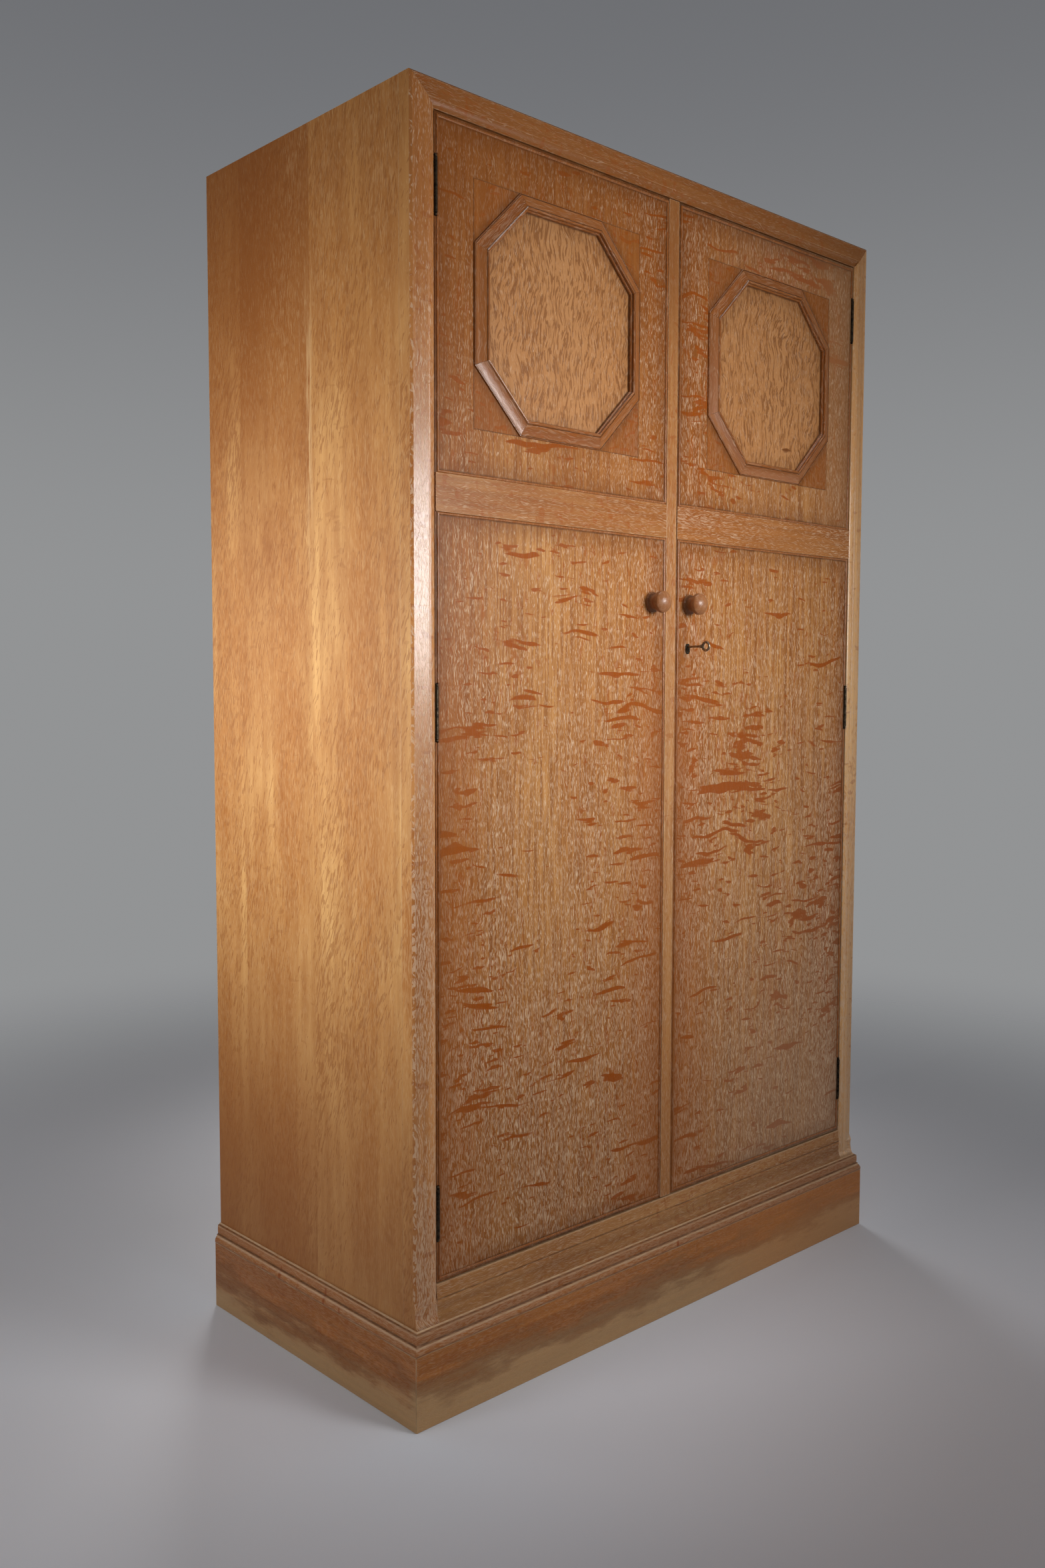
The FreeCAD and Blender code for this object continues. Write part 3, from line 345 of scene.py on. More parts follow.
def oak(name, overlays=(), boards=(), **changes):
    look = {**oakGround, **changes}
    material = bpy.data.materials.new(name)
    material.use_nodes = True
    tree = material.node_tree
    shader = tree.nodes["Principled BSDF"]
    wood = addNode(tree, "ShaderNodeAttribute", attribute_name="wood").outputs["Vector"]
    edge = addNode(tree, "ShaderNodeAttribute", attribute_name="edgeWearAndHighlight").outputs["Fac"]
    crevice = addNode(tree, "ShaderNodeAttribute", attribute_name="crevice").outputs["Fac"]
    place = addNode(tree, "ShaderNodeTexCoord").outputs["Object"]
    spot = addNode(tree, "ShaderNodeSeparateXYZ", {0: place}).outputs

    def tinted(color, mask, share, tint):
        return mixColor(tree, times(tree, mask, share), color, look.get(tint, tint))

    def lessened(value, mask, share):
        return times(tree, value, minus(tree, 1.0, times(tree, mask, share)))

    warmth = 0.0
    for start, tone, change in boards:  # each board of a jointed side has figure and warmth of its own
        step = calc(tree, "GREATER_THAN", spot["Y"], start)
        warmth = plus(tree, warmth, times(tree, step, change))
        shift = addNode(tree, "ShaderNodeCombineXYZ", {i: times(tree, step, tone + i) for i in range(3)})
        wood = vectorCalc(tree, "ADD", wood, shift.outputs[0])
    zone = effect(tree, "shade", Wood=wood)
    if look["edgeZone"]:  # a door's veneer is plain down its middle and streaky towards its edges
        streaky = ramp(tree, sideDistance(tree, spot["X"]), *oakForm["streakyEdge"], look["edgeZone"], 0.0)
        zone = plus(tree, times(tree, zone, 1 - look["edgeZone"]), streaky, clamp=True)
    # top marks the upper part, painted darker as shade by topShare, topDeep, topLime and the boards' warmth
    top = towardsTop(tree, spot, wood)
    foot = fade(tree, spot["Z"], *oakForm["footHeights"])
    rings = effect(tree, "rings", Wood=wood, Spacing=look["ringSpacing"], Reach=look["ringReach"])

    low = ramp(tree, spot["Z"], *oakForm["limedHeights"], look["poreLow"], 0.0)
    cover = plus(tree, look["poreCover"], plus(tree, times(tree, zone, look["poreSpread"]), low))
    pores = effect(tree, "pores", Wood=wood, Width=look["poreWidth"], Length=look["poreLength"],
                   Cover=cover, Ripple=look["poreRipple"])

    def figure(kind, vector):
        shown = minus(tree, look[kind + "Cover"], times(tree, foot, look["footFlecks"]))
        mask = effect(tree, "fleck", Wood=vector, Length=look[kind + "Length"], Cover=shown,
                      Thickness=look[kind + "Thickness"], Sway=look[kind + "Sway"], Clumps=look[kind + "Clumps"])
        share = look[kind + "Share"]
        return times(tree, mask, minus(tree, share, times(tree, rings, oakForm["fleckBreak"] * share)))

    leaning = wood
    if look["waveSlant"]:
        lean = addNode(tree, "ShaderNodeCombineXYZ", {0: times(tree, spot["Z"], look["waveSlant"])})
        leaning = vectorCalc(tree, "ADD", wood, lean.outputs[0])
    flecks = figure("fleck", wood)

    smooth = times(tree, minus(tree, 1.0, zone), look["paleShare"])
    smooth = lessened(smooth, top, look["topShare"])
    if look["footShare"]:
        smooth = lessened(smooth, foot, look["footShare"])
    color = mixColor(tree, smooth, look["ground"], look["pale"])
    if boards:
        color = tinted(color, warmth, ramp(tree, top, 0.0, 1.0, oakForm["lowWarmth"]), "warm")
    if look["mottleShare"]:
        mottle = effect(tree, "shade", Wood=wood, Scale=oakForm["mottleScale"])
        color = tinted(color, mottle, look["mottleShare"], "warm")
    color = tinted(color, rings, look["ringShare"], "deep")
    if look["topDeep"]:
        color = tinted(color, top, look["topDeep"], "deep")
    color = mixColor(tree, figure("wave", leaning), color, look["fleck"])
    limed = minus(tree, look["poreShare"], times(tree, top, oakForm["topLime"] * look["topDeep"]))
    color = tinted(color, pores, limed, "lime")
    if look["dashShare"]:
        color = mixColor(tree, figure("dash", wood), color, look["fleck"])
    color = mixColor(tree, flecks, color, look["fleck"])
    # wear and painted highlight on the eased arrises
    color = tinted(color, effect(tree, "wear", Edge=edge, Wood=wood), look["wearShare"], "edge")
    for mask, tint, share in overlays:
        color = tinted(color, mask(tree, spot, wood), share, tint)
    # the crevices of the octagon mouldings darkened: dust and painted shade
    color = tinted(color, crevice, look["dustAndShadeShare"], "dustAndShade")
    tree.links.new(color, shader.inputs["Base Color"])

    ground = look["roughness"] + oakForm["groundRough"]
    rough = plus(tree, ground, times(tree, pores, oakForm["poreRough"]))
    glossy = times(tree, flecks, oakForm["fleckGloss"])
    tree.links.new(minus(tree, rough, glossy), shader.inputs["Roughness"])
    relief = minus(tree, times(tree, rings, oakForm["ringRelief"]), pores)
    bump = addNode(tree, "ShaderNodeBump", {
        "Strength": look["bump"], "Distance": look["bumpDepth"], "Height": relief})
    tree.links.new(bump.outputs[0], shader.inputs["Normal"])
    shader.inputs["Specular IOR Level"].default_value = look["specular"]
    shader.inputs["Coat Weight"].default_value = look["coat"]
    shader.inputs["Coat Roughness"].default_value = look["coatRoughness"]
    return material


# dust and painted shade lines: each measure gives the distance from a joint or an edge; joints are darkened as
# dust, creases beside proud parts as painted shade

def dustAndShadeLine(measure, width):
    return lambda tree, spot, wood: effect(tree, "dustAndShade", Distance=measure(tree, spot), Width=width, Wood=wood)


def besideBeads(tree, spot):
    tall = insideEither(tree, spot["Z"], "lower", "upper")
    return minus(tree, calc(tree, "MINIMUM", sideDistance(tree, spot["X"]), tall), beadWidth)


def outsideOctagon(tree, spot):
    return calc(tree, "ABSOLUTE", effect(tree, "octagonLines", "Octagon", X=spot["X"], Z=spot["Z"]))


def insideOctagon(tree, spot):
    outer = effect(tree, "octagonLines", "Octagon", X=spot["X"], Z=spot["Z"])
    return calc(tree, "ABSOLUTE", plus(tree, outer, octagon["width"]))


def besideSquare(tree, spot):
    return effect(tree, "octagonLines", "Square", X=spot["X"], Z=spot["Z"])


def besideMuntin(tree, spot):
    return apart(tree, calc(tree, "ABSOLUTE", spot["X"]), nodeSpan("back_muntin", 0)[1])


def abovePlinth(tree, spot):
    return minus(tree, spot["Z"], plinthTop)


def lineAt(height):
    return lambda tree, spot: apart(tree, spot["Z"], height)


railJointShare = 0.6  # how far up the seen part of the bottom rail its dust line runs, a little above the cove
plinthFace = nodeSpan("plinth_front", 1)[0]
mouldingFoot, plinthTop = nodeSpan("plinth_moulding_front", 2)
railTop = nodeSpan("bottom_rail", 2)[1]
railJoint = plinthTop + railJointShare * (railTop - plinthTop)
frameTop = nodeSpan("top_rail", 2)[1]
mouldingHighlightsAndShade = (  # painted highlights on the moulding's edges and painted shade in its grooves and at its foot, as height above the foot of the plinth moulding, width, colour, share
    (0.0, 0.003, "dustAndShade", 0.4), (0.0127, 0.002, "dustAndShade", 0.7), (0.0098, 0.0024, "edge", 0.8),
    (0.0256, 0.002, "edge", 0.5), (0.0279, 0.0016, "dustAndShade", 0.6), (0.0300, 0.0018, "edge", 1.0),
)


# larger stains and changes of tone, and painted shade and painted light on parts of the surfaces

footStain = {
    "cell": (0.025, 0.025, 0.11), "bleachDrift": 0.11, "litFrontRise": 0.018, "frontDepth": (0.002, 0.02),
    "bleachHeights": (0.014, 0.066), "bandDrift": 0.14, "bandFoot": (0.025, 0.05), "bandTop": (0.06, 0.09),
}


def stainDrift(tree, spot, wood, depth):
    wander = noise(tree, stretched(tree, wood, *footStain["cell"]), detail=6.0, roughness=0.65)
    return plus(tree, spot["Z"], times(tree, minus(tree, wander, 0.5), depth))


def bleachedFoot(tree, spot, wood):
    near, far = (plinthFace + depth for depth in footStain["frontDepth"])
    # painted light: the bleach reaches higher on the front face, so the plinth front is paler
    front = ramp(tree, spot["Y"], near, far, footStain["litFrontRise"], 0.0)
    height = minus(tree, stainDrift(tree, spot, wood, footStain["bleachDrift"]), front)
    return fade(tree, height, *footStain["bleachHeights"])


def stainedBand(tree, spot, wood):
    height = stainDrift(tree, spot, wood, footStain["bandDrift"])
    return times(tree, ramp(tree, height, *footStain["bandFoot"]), fade(tree, height, *footStain["bandTop"]))


sideBoards = (  # where each next board of a side starts, the shift of its figure, its change of warmth
    (-0.002, 3.1, 0.62), (0.187, 5.7, -0.4),
)
scuff = {"line": sideBoards[0][0] + 0.004, "cell": (0.004, 0.02, 0.09), "foot": (1.15, 1.35), "top": (1.55, 1.66),
         "reach": 0.012, "levels": (0.4, 0.6)}


def scuffedJoint(tree, spot, wood):
    near = fade(tree, apart(tree, spot["Y"], scuff["line"]), 0.0, scuff["reach"])
    tall = times(tree, ramp(tree, spot["Z"], *scuff["foot"]), fade(tree, spot["Z"], *scuff["top"]))
    worn = ramp(tree, noise(tree, stretched(tree, wood, *scuff["cell"]), detail=3.0), *scuff["levels"])
    return times(tree, times(tree, near, tall), worn)


redSide = {"wander": 0.06, "reach": (0.03, 0.16), "heights": (0.9, 1.2), "rightEnd": (0.25, 0.42)}


def redSides(tree, spot, wood):
    wander = times(tree, effect(tree, "shade", Wood=wood), redSide["wander"])
    near = fade(tree, plus(tree, sideDistance(tree, spot["X"]), wander), *redSide["reach"])
    lower = times(tree, fade(tree, spot["Z"], *redSide["heights"]), fade(tree, spot["X"], *redSide["rightEnd"]))
    return times(tree, near, lower)


regions = {  # two ramps each, as axis, from, to and the mask at both; "top" is the upper part, painted darker as shade
    "lowBackShade": (("Z", 0.25, 0.75, 1.0, 0.0), ("Y", -0.1, 0.2, 0.6, 1.0)),
    "lowRightLight": (("Z", 0.25, 0.75, 1.0, 0.0), ("X", 0.0, 0.3, 0.0, 1.0)),
    "highBackShade": ("top", ("Y", -0.05, 0.15, 0.0, 1.0)),
    "highLeftShade": ("top", ("X", -0.45, 0.1, 1.0, 0.0)),
    "highAtRight": ("top", ("X", 0.0, 0.3, 0.0, 1.0)),
    "upperRightEdge": (("Z", 1.2, 1.4, 0.0, 1.0), ("X", 0.36, 0.43, 0.0, 1.0)),
}


def region(name):
    def mask(tree, spot, wood):
        first, second = (towardsTop(tree, spot, wood) if part == "top" else ramp(tree, spot[part[0]], *part[1:])
                         for part in regions[name])
        return times(tree, first, second)
    return mask


frameLook = {
    "ground": (0.32, 0.108, 0.023, 1), "pale": (0.61, 0.335, 0.130, 1), "paleShare": 0.85, "topShare": 0.6,
    "topDeep": 0.5, "footShare": 0.35, "fleckLength": 0.03, "fleckThickness": 0.012, "fleckCover": 0.3,
    "fleckSway": 0.03, "fleckShare": 0.4, "dashShare": 0.0, "waveLength": 0.005, "waveThickness": 0.014,
    "waveCover": 0.55, "waveShare": 0.35, "poreLength": 0.013, "poreWidth": 0.0009, "poreCover": 0.4,
    "poreShare": 0.45, "roughness": 0.38, "specular": 0.22, "coat": 0.06, "coatRoughness": 0.25,
}
stileLook = {
    **frameLook, "ground": (0.43, 0.158, 0.037, 1), "pale": (0.64, 0.300, 0.102, 1), "topShare": 0.9,
    "topDeep": 0.2, "footShare": 0.0, "poreWidth": 0.0010, "poreLength": 0.010, "poreCover": 0.5,
    "poreShare": 0.62, "wearShare": 0.12, "roughness": 0.34, "specular": 0.4, "coat": 0.32, "coatRoughness": 0.2,
}
# dust and painted shade in the crease just above the plinth moulding
plinthDustAndShade = (dustAndShadeLine(abovePlinth, 0.005), "dustAndShade", 0.4)
finishes = {
    "door": oak(
        "limedDoorOak",
        # a darker band along the field edges, stain and painted shade, and a dark line beside the beads, dust and
        # painted shade
        [(dustAndShadeLine(besideBeads, 0.035), "stain", 0.45), (dustAndShadeLine(besideBeads, 0.003), "dustAndShade", 0.75),
         # painted shade: the doors darker at the upper left
         (dustAndShadeLine(besideSquare, 0.0015), "dustAndShade", 0.5), (region("highLeftShade"), "deep", 0.46),
         # painted light: the doors paler at the lower right
         (region("highAtRight"), "lime", 0.07), (region("lowRightLight"), "lime", 0.19),
         (redSides, (0.34, 0.098, 0.016, 1), 0.42), (region("upperRightEdge"), (0.40, 0.220, 0.095, 1), 0.25)],
        pale=(0.57, 0.290, 0.098, 1), ringSpacing=0.0036, ringReach=0.12, ringShare=0.8, mottleShare=0.22,
        edgeZone=0.5, topShare=0.6, topDeep=0.2, footShare=0.5, footFlecks=0.07, poreSpread=0.14, poreLow=0.2,
        poreShare=0.76, specular=0.14),
    "panel": oak(
        # dust and painted shade inside the octagon moulding
        "figuredPanelOak", [(dustAndShadeLine(insideOctagon, 0.03), "dustAndShade", 0.2), (dustAndShadeLine(insideOctagon, 0.003), "dustAndShade", 0.7)],
        ground=(0.44, 0.195, 0.066, 1), deep=(0.35, 0.135, 0.035, 1), pale=(0.50, 0.248, 0.100, 1),
        fleck=(0.18, 0.056, 0.011, 1), fleckCover=0.0, dashShare=0.0, waveLength=0.0024, waveThickness=0.0175,
        waveCover=0.92, waveSway=0.07, waveClumps=0.06, waveShare=0.70, poreCover=0.32, poreSpread=0.2,
        poreLow=0.0, poreShare=0.5, ringShare=0.25, paleShare=0.65, specular=0.3),
    "spandrel": oak(
        # dust and painted shade outside the octagon moulding, and dark joint lines at the square
        "spandrelOak", [(dustAndShadeLine(outsideOctagon, 0.016), "dustAndShade", 0.4), (dustAndShadeLine(besideSquare, 0.0015), "dustAndShade", 0.7)],
        ground=(0.28, 0.086, 0.016, 1), pale=(0.33, 0.118, 0.026, 1), deep=(0.20, 0.055, 0.009, 1),
        fleckLength=0.024, fleckThickness=0.008, fleckCover=0.52, fleckShare=0.6, dashShare=0.0, waveShare=0.3,
        poreShare=0.16, ringShare=0.5, ringSpacing=0.005, paleShare=0.65, specular=0.16),
    "moulding": oak(
        "mouldingOak", ground=(0.29, 0.088, 0.016, 1), deep=(0.15, 0.042, 0.008, 1), pale=(0.33, 0.120, 0.031, 1),
        fleckLength=0.02, fleckThickness=0.012, fleckCover=0.3, fleckShare=0.35, dashShare=0.0, waveShare=0.2,
        poreShare=0.2, poreLength=0.02, poreLow=0.0, paleShare=0.65, roughness=0.34, specular=0.3, coat=0.2,
        coatRoughness=0.26),
    "frame": oak(
        "frameOak",
        # dust and painted shade above the plinth, a painted highlight along the top edge of the bottom rail, a dark
        # joint line, and a dark line along the top edge of the top rail
        [(dustAndShadeLine(abovePlinth, 0.04), "dustAndShade", 0.25), (dustAndShadeLine(lineAt(railTop), 0.003), "edge", 0.6),
         (dustAndShadeLine(lineAt(railJoint), 0.0018), "dustAndShade", 0.7), (dustAndShadeLine(lineAt(frameTop), 0.004), "dustAndShade", 0.5)],
        **frameLook),
    # painted shade: a darker copy of the frame finish for the right mid rail
    "shadedRail": oak("shadedRailOak", **{
        **frameLook, "ground": (0.34, 0.105, 0.020, 1), "paleShare": 0.35, "poreCover": 0.5, "poreShare": 0.6}),
    "strip": oak("stripOak", **{
        **frameLook, "ground": (0.35, 0.125, 0.029, 1), "pale": (0.71, 0.395, 0.158, 1), "footShare": 0.8}),
    "stile": oak("stileOak", [plinthDustAndShade], **stileLook),
    # painted light: a lighter copy of the stile finish for the right stile
    "litStile": oak("litStileOak", [plinthDustAndShade], **{
        **stileLook, "ground": (0.70, 0.345, 0.122, 1), "pale": (0.90, 0.58, 0.275, 1)}),
    "side": oak(
        "sideOak",
        # painted shade on the side: darker towards the back, low down and up high
        [plinthDustAndShade, (scuffedJoint, "lime", 0.7), (region("lowBackShade"), (0.27, 0.080, 0.010, 1), 0.66),
         (region("highBackShade"), (0.23, 0.056, 0.004, 1), 0.5)],
        sideBoards, ground=(0.45, 0.185, 0.044, 1), deep=(0.31, 0.105, 0.020, 1), pale=(0.70, 0.405, 0.150, 1),
        fleck=(0.27, 0.088, 0.017, 1), lime=(0.70, 0.45, 0.21, 1), warm=(0.29, 0.088, 0.013, 1), topShare=0.75,
        paleShare=1.0, fleckLength=0.035, fleckThickness=0.014, fleckCover=0.2, fleckSway=0.02, fleckShare=0.25,
        dashShare=0.0, waveLength=0.0026, waveThickness=0.017, waveCover=0.66, waveSway=0.03, waveShare=0.6,
        waveSlant=0.3, poreShare=0.3, poreCover=0.4, poreLength=0.015, poreRipple=0.008, ringShare=0.4,
        ringSpacing=0.013, ringReach=0.26, mottleShare=0.35, roughness=0.46, specular=0.3, coat=0.05, bump=0.15),
    "plinth": oak(
        "plinthOak",
        [(bleachedFoot, (0.52, 0.340, 0.165, 1), 0.68), (stainedBand, (0.10, 0.030, 0.006, 1), 0.35),
         # painted light: the plinth lighter at the lower right; a painted shadow line on the plinth under the
         # moulding
         (region("lowRightLight"), (0.75, 0.270, 0.060, 1), 0.3), (dustAndShadeLine(lineAt(mouldingFoot), 0.003), "dustAndShade", 0.4)],
        ground=(0.42, 0.138, 0.024, 1), deep=(0.22, 0.062, 0.009, 1), pale=(0.49, 0.190, 0.046, 1),
        fleckLength=0.04, fleckThickness=0.016, fleckCover=0.3, fleckShare=0.35, dashShare=0.0, waveShare=0.25,
        poreShare=0.2, ringShare=0.6, paleShare=0.65, wearShare=0.8, specular=0.25),
    "plinthMoulding": oak(
        "plinthMouldingOak",
        # painted highlight and painted shade lines along the plinth moulding
        [(dustAndShadeLine(lineAt(mouldingFoot + rise), width), tint, share) for rise, width, tint, share in mouldingHighlightsAndShade],
        ground=(0.38, 0.128, 0.026, 1), deep=(0.21, 0.062, 0.011, 1), pale=(0.44, 0.172, 0.045, 1), fleckCover=0.2,
        dashShare=0.0, waveShare=0.3, poreShare=0.3, paleShare=0.65, wearShare=0.5),
    "inner": oak(
        "innerOak", ground=(0.42, 0.200, 0.075, 1), fleckCover=0.25, fleckShare=0.35, dashShare=0.0, waveShare=0.3,
        poreShare=0.15, ringShare=0.4, ringSpacing=0.021, ringReach=0.35, mottleShare=0.2, paleShare=0.6,
        roughness=0.5, specular=0.3),
    "board": oak(
        # dust and painted shade beside the proud muntin
        "plainBoardOak", [(dustAndShadeLine(besideMuntin, 0.003), "dustAndShade", 0.85)], ground=(0.40, 0.210, 0.086, 1),
        deep=(0.27, 0.118, 0.040, 1), pale=(0.50, 0.290, 0.135, 1), fleckCover=0.15, fleckShare=0.25,
        dashShare=0.0, waveShare=0.15, poreShare=0.1, ringShare=0.6, ringSpacing=0.03, paleShare=0.8,
        roughness=0.6, specular=0.25),
    "turned": oak(
        "turnedOak", ground=(0.29, 0.112, 0.038, 1), deep=(0.20, 0.068, 0.020, 1), pale=(0.35, 0.152, 0.058, 1),
        fleckLength=0.012, fleckThickness=0.006, fleckCover=0.25, fleckShare=0.3, dashShare=0.0, waveShare=0.2,
        poreShare=0.12, paleShare=0.65, roughness=0.36, coat=0.25, bump=0.12),
}
print("oak finishes:", len(finishes))


metals = {
    "bronze": {"name": "darkBronze", "base": (0.085, 0.062, 0.040, 1), "stain": (0.022, 0.018, 0.014, 1),
               "roughness": 0.42, "spread": 0.2, "scale": 180.0},
    "brass": {"name": "agedBrass", "base": (0.48, 0.34, 0.15, 1), "stain": (0.33, 0.225, 0.095, 1),
              "roughness": 0.34, "spread": 0.18, "scale": 90.0},
    "steel": {"name": "wornSteel", "base": (0.40, 0.34, 0.26, 1), "stain": (0.20, 0.15, 0.10, 1),
              "roughness": 0.34, "spread": 0.2, "scale": 240.0},
}
metalBump = {"Strength": 0.15, "Distance": 0.0002}


def metal(name, base, stain, roughness, spread, scale):
    material = bpy.data.materials.new(name)
    material.use_nodes = True
    tree = material.node_tree
    shader = tree.nodes["Principled BSDF"]
    place = addNode(tree, "ShaderNodeTexCoord").outputs["Object"]
    patina = effect(tree, "patina", "Patina", Place=place, Scale=scale)
    tree.links.new(mixColor(tree, patina, base, stain), shader.inputs["Base Color"])
    tree.links.new(plus(tree, roughness, times(tree, patina, spread)), shader.inputs["Roughness"])
    grain = effect(tree, "patina", "Grain", Place=place, Scale=scale)
    bump = addNode(tree, "ShaderNodeBump", {**metalBump, "Height": grain})
    tree.links.new(bump.outputs[0], shader.inputs["Normal"])
    shader.inputs["Metallic"].default_value = 1.0
    return material


for finish, look in metals.items():
    finishes[finish] = metal(**look)
print("metal finishes:", len(metals))


# pieces: each CAD node gets an eased copy, or a finer piece of its own

def newPiece(name, bm, material, body, smoothAngle=30):
    mesh = bpy.data.meshes.new(name)
    bmesh.ops.triangulate(bm, faces=[face for face in bm.faces if len(face.verts) > 4])
    rounded = [face.smooth for face in bm.faces]
    bm.to_mesh(mesh)
    bm.free()
    if "custom_normal" in mesh.attributes:
        mesh.attributes.remove(mesh.attributes["custom_normal"])
    mesh.set_sharp_from_angle(angle=math.radians(smoothAngle))
    mesh.polygons.foreach_set("use_smooth", rounded)  # setting the sharp edges makes every face smooth
    mesh.materials.append(material)
    piece = bpy.data.objects.new(name, mesh)
    bpy.context.scene.collection.objects.link(piece)
    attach(piece, body)
    return piece


grainWays = {  # across, through and along the grain, as axes of the wardrobe
    "upFront": ("X", "Y", "Z"), "upSide": ("Y", "X", "Z"), "acrossFront": ("Z", "Y", "X"),
    "alongSide": ("Z", "X", "Y"), "acrossFlat": ("Y", "Z", "X"),
}
grainShift = {"turn": 0.7, "across": 0.37, "through": 0.19, "along": 0.83}  # the last three are steps per seed


def setWood(mesh, way, seed):
    across, through, along = ("XYZ".index(letter) for letter in grainWays[way])
    flat = []
    for vertex in mesh.vertices:  # the grain lines turn from the face on to the edge
        turned = vertex.co[across] + grainShift["turn"] * vertex.co[through]
        flat += [turned + grainShift["across"] * seed, vertex.co[through] + grainShift["through"] * seed,
                 vertex.co[along] + grainShift["along"] * seed]
    mesh.attributes.new("wood", "FLOAT_VECTOR", "POINT").data.foreach_set("vector", flat)


otherFaces = {  # node: direction of the faces with another finish
    "left_stile": ((-1, 0, 0), "side"), "right_stile": ((1, 0, 0), "side"), "left_side": ((1, 0, 0), "inner"),
    "right_side": ((-1, 0, 0), "inner"), "left_door_slab": ((0, 1, 0), "inner"),
    "right_door_slab": ((0, 1, 0), "inner"),
}
easing = {  # lengths in metres, angles in degrees
    "weld": 1e-5, "flatAngle": 0.2, "narrow": 0.005, "roundAngle": 1, "sharpAngle": 32, "shortest": 0.02,
    "segments": 2, "profile": 0.6, "facing": 0.9,
}


def easedCopy(node, finish, ease=0.0, way="upFront", seed=0):
    rounded, sharp = math.radians(easing["roundAngle"]), math.radians(easing["sharpAngle"])
    bm = bmesh.new()
    bm.from_mesh(nodes[node].data)
    bmesh.ops.remove_doubles(bm, verts=bm.verts, dist=easing["weld"])
    bmesh.ops.dissolve_limit(bm, angle_limit=math.radians(easing["flatAngle"]), verts=bm.verts, edges=bm.edges)
    wornAndHighlighted = bm.faces.layers.float.new("edgeWearAndHighlight")
    for face in bm.faces:
        turns = [edge.calc_face_angle(0.0) for edge in face.edges]
        narrow = face.calc_area() < easing["narrow"] * face.calc_perimeter()
        face.smooth = narrow and any(rounded < turn < sharp for turn in turns)
    if ease:
        edges = [edge for edge in bm.edges if len(edge.link_faces) == 2
                 and edge.calc_length() > easing["shortest"] and edge.calc_face_angle() > sharp]
        eased = bmesh.ops.bevel(bm, geom=edges, offset=ease, segments=easing["segments"],
                                profile=easing["profile"], affect="EDGES", clamp_overlap=False)
        for face in eased["faces"]:
            if face.calc_area() < face.calc_perimeter() * ease:
                face[wornAndHighlighted] = 1.0
                face.smooth = True
    piece = newPiece("piece_" + node, bm, finishes[finish], bodyOf[node])
    setWood(piece.data, way, seed)
    if node in otherFaces:
        facing, second = otherFaces[node]
        piece.data.materials.append(finishes[second])
        for face in piece.data.polygons:
            face.material_index = int(face.normal.dot(Vector(facing)) > easing["facing"])
    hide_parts(node)


octagonProfile = [  # inwards from the outer edge, proud of the door (mm), dust and painted shade on the way to the next
    (0.0, 0.0, 0), (0.0, 2.2, 0), (0.3, 2.7, 0), (0.9, 2.8, 1), (1.4, 2.3, 1), (2.0, 2.6, 0), (5.5, 3.5, 0),
    (9.5, 4.9, 0), (13.5, 6.7, 0), (16.9, 8.5, 1), (17.5, 8.0, 1), (18.0, 8.4, 0), (18.5, 9.2, 0), (19.3, 9.8, 0),
    (20.2, 10.0, 0), (21.0, 9.8, 0), (21.6, 9.2, 0), (21.8, 8.4, 0.2), (21.9, 6.2, 0.7), (22.3, 5.5, 0),
    (22.9, 5.4, 0), (23.5, 4.9, 0), (23.9, 4.1, 0), (24.0, 3.0, 0.5), (24.0, 0.0, 0),
]


def octagonCorner(inset, index):
    flat = octagon["half"] - inset
    short = octagon["half"] - octagon["cut"] - inset * (math.sqrt(2) - 1)
    turn = math.radians(90 * (index // 2))
    x, z = ((flat, -short), (flat, short))[index % 2]
    return Vector((x * math.cos(turn) - z * math.sin(turn), x * math.sin(turn) + z * math.cos(turn)))


def octagonMoulding(hand, seed):
    face = nodeSpan(hand + "_door_slab", 1)[0]
    bm = bmesh.new()
    creviceLayer = bm.faces.layers.float.new("crevice")
    grain = bm.verts.layers.float_vector.new("wood")
    for side in range(8):
        nextSide = (side + 1) % 8
        along = (octagonCorner(0.0, nextSide) - octagonCorner(0.0, side)).normalized()
        rows = []
        for inset, proud in ((inset / 1000, proud / 1000) for inset, proud, _ in octagonProfile):
            row = []
            for end, back in ((side, octagon["mitreGap"]), (nextSide, -octagon["mitreGap"])):
                spot = octagonCorner(inset, end) + along * back
                vert = bm.verts.new((octagon[hand] + spot.x, face - proud, octagon["height"] + spot.y))
                vert[grain] = (inset + side + seed, proud, spot.dot(along) + side * octagon["lengthShift"])
                row.append(vert)
            rows.append(row)
        for (_, _, dustAndShade), first, second in zip(octagonProfile, rows, rows[1:]):
            quad = bm.faces.new((first[0], first[1], second[1], second[0]))
            quad[creviceLayer] = dustAndShade
            quad.smooth = True
        for end in (0, 1):
            bm.faces.new([row[end] for row in rows])
    bmesh.ops.recalc_face_normals(bm, faces=bm.faces)
    piece = newPiece("piece_" + hand + "_octagon_moulding", bm, finishes["moulding"], hand + "_door",
                     octagon["smoothAngle"])
    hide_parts(hand + "_octagon_moulding")


octagonMoulding("left", 3)
octagonMoulding("right", 14)
print("octagon mouldings built")

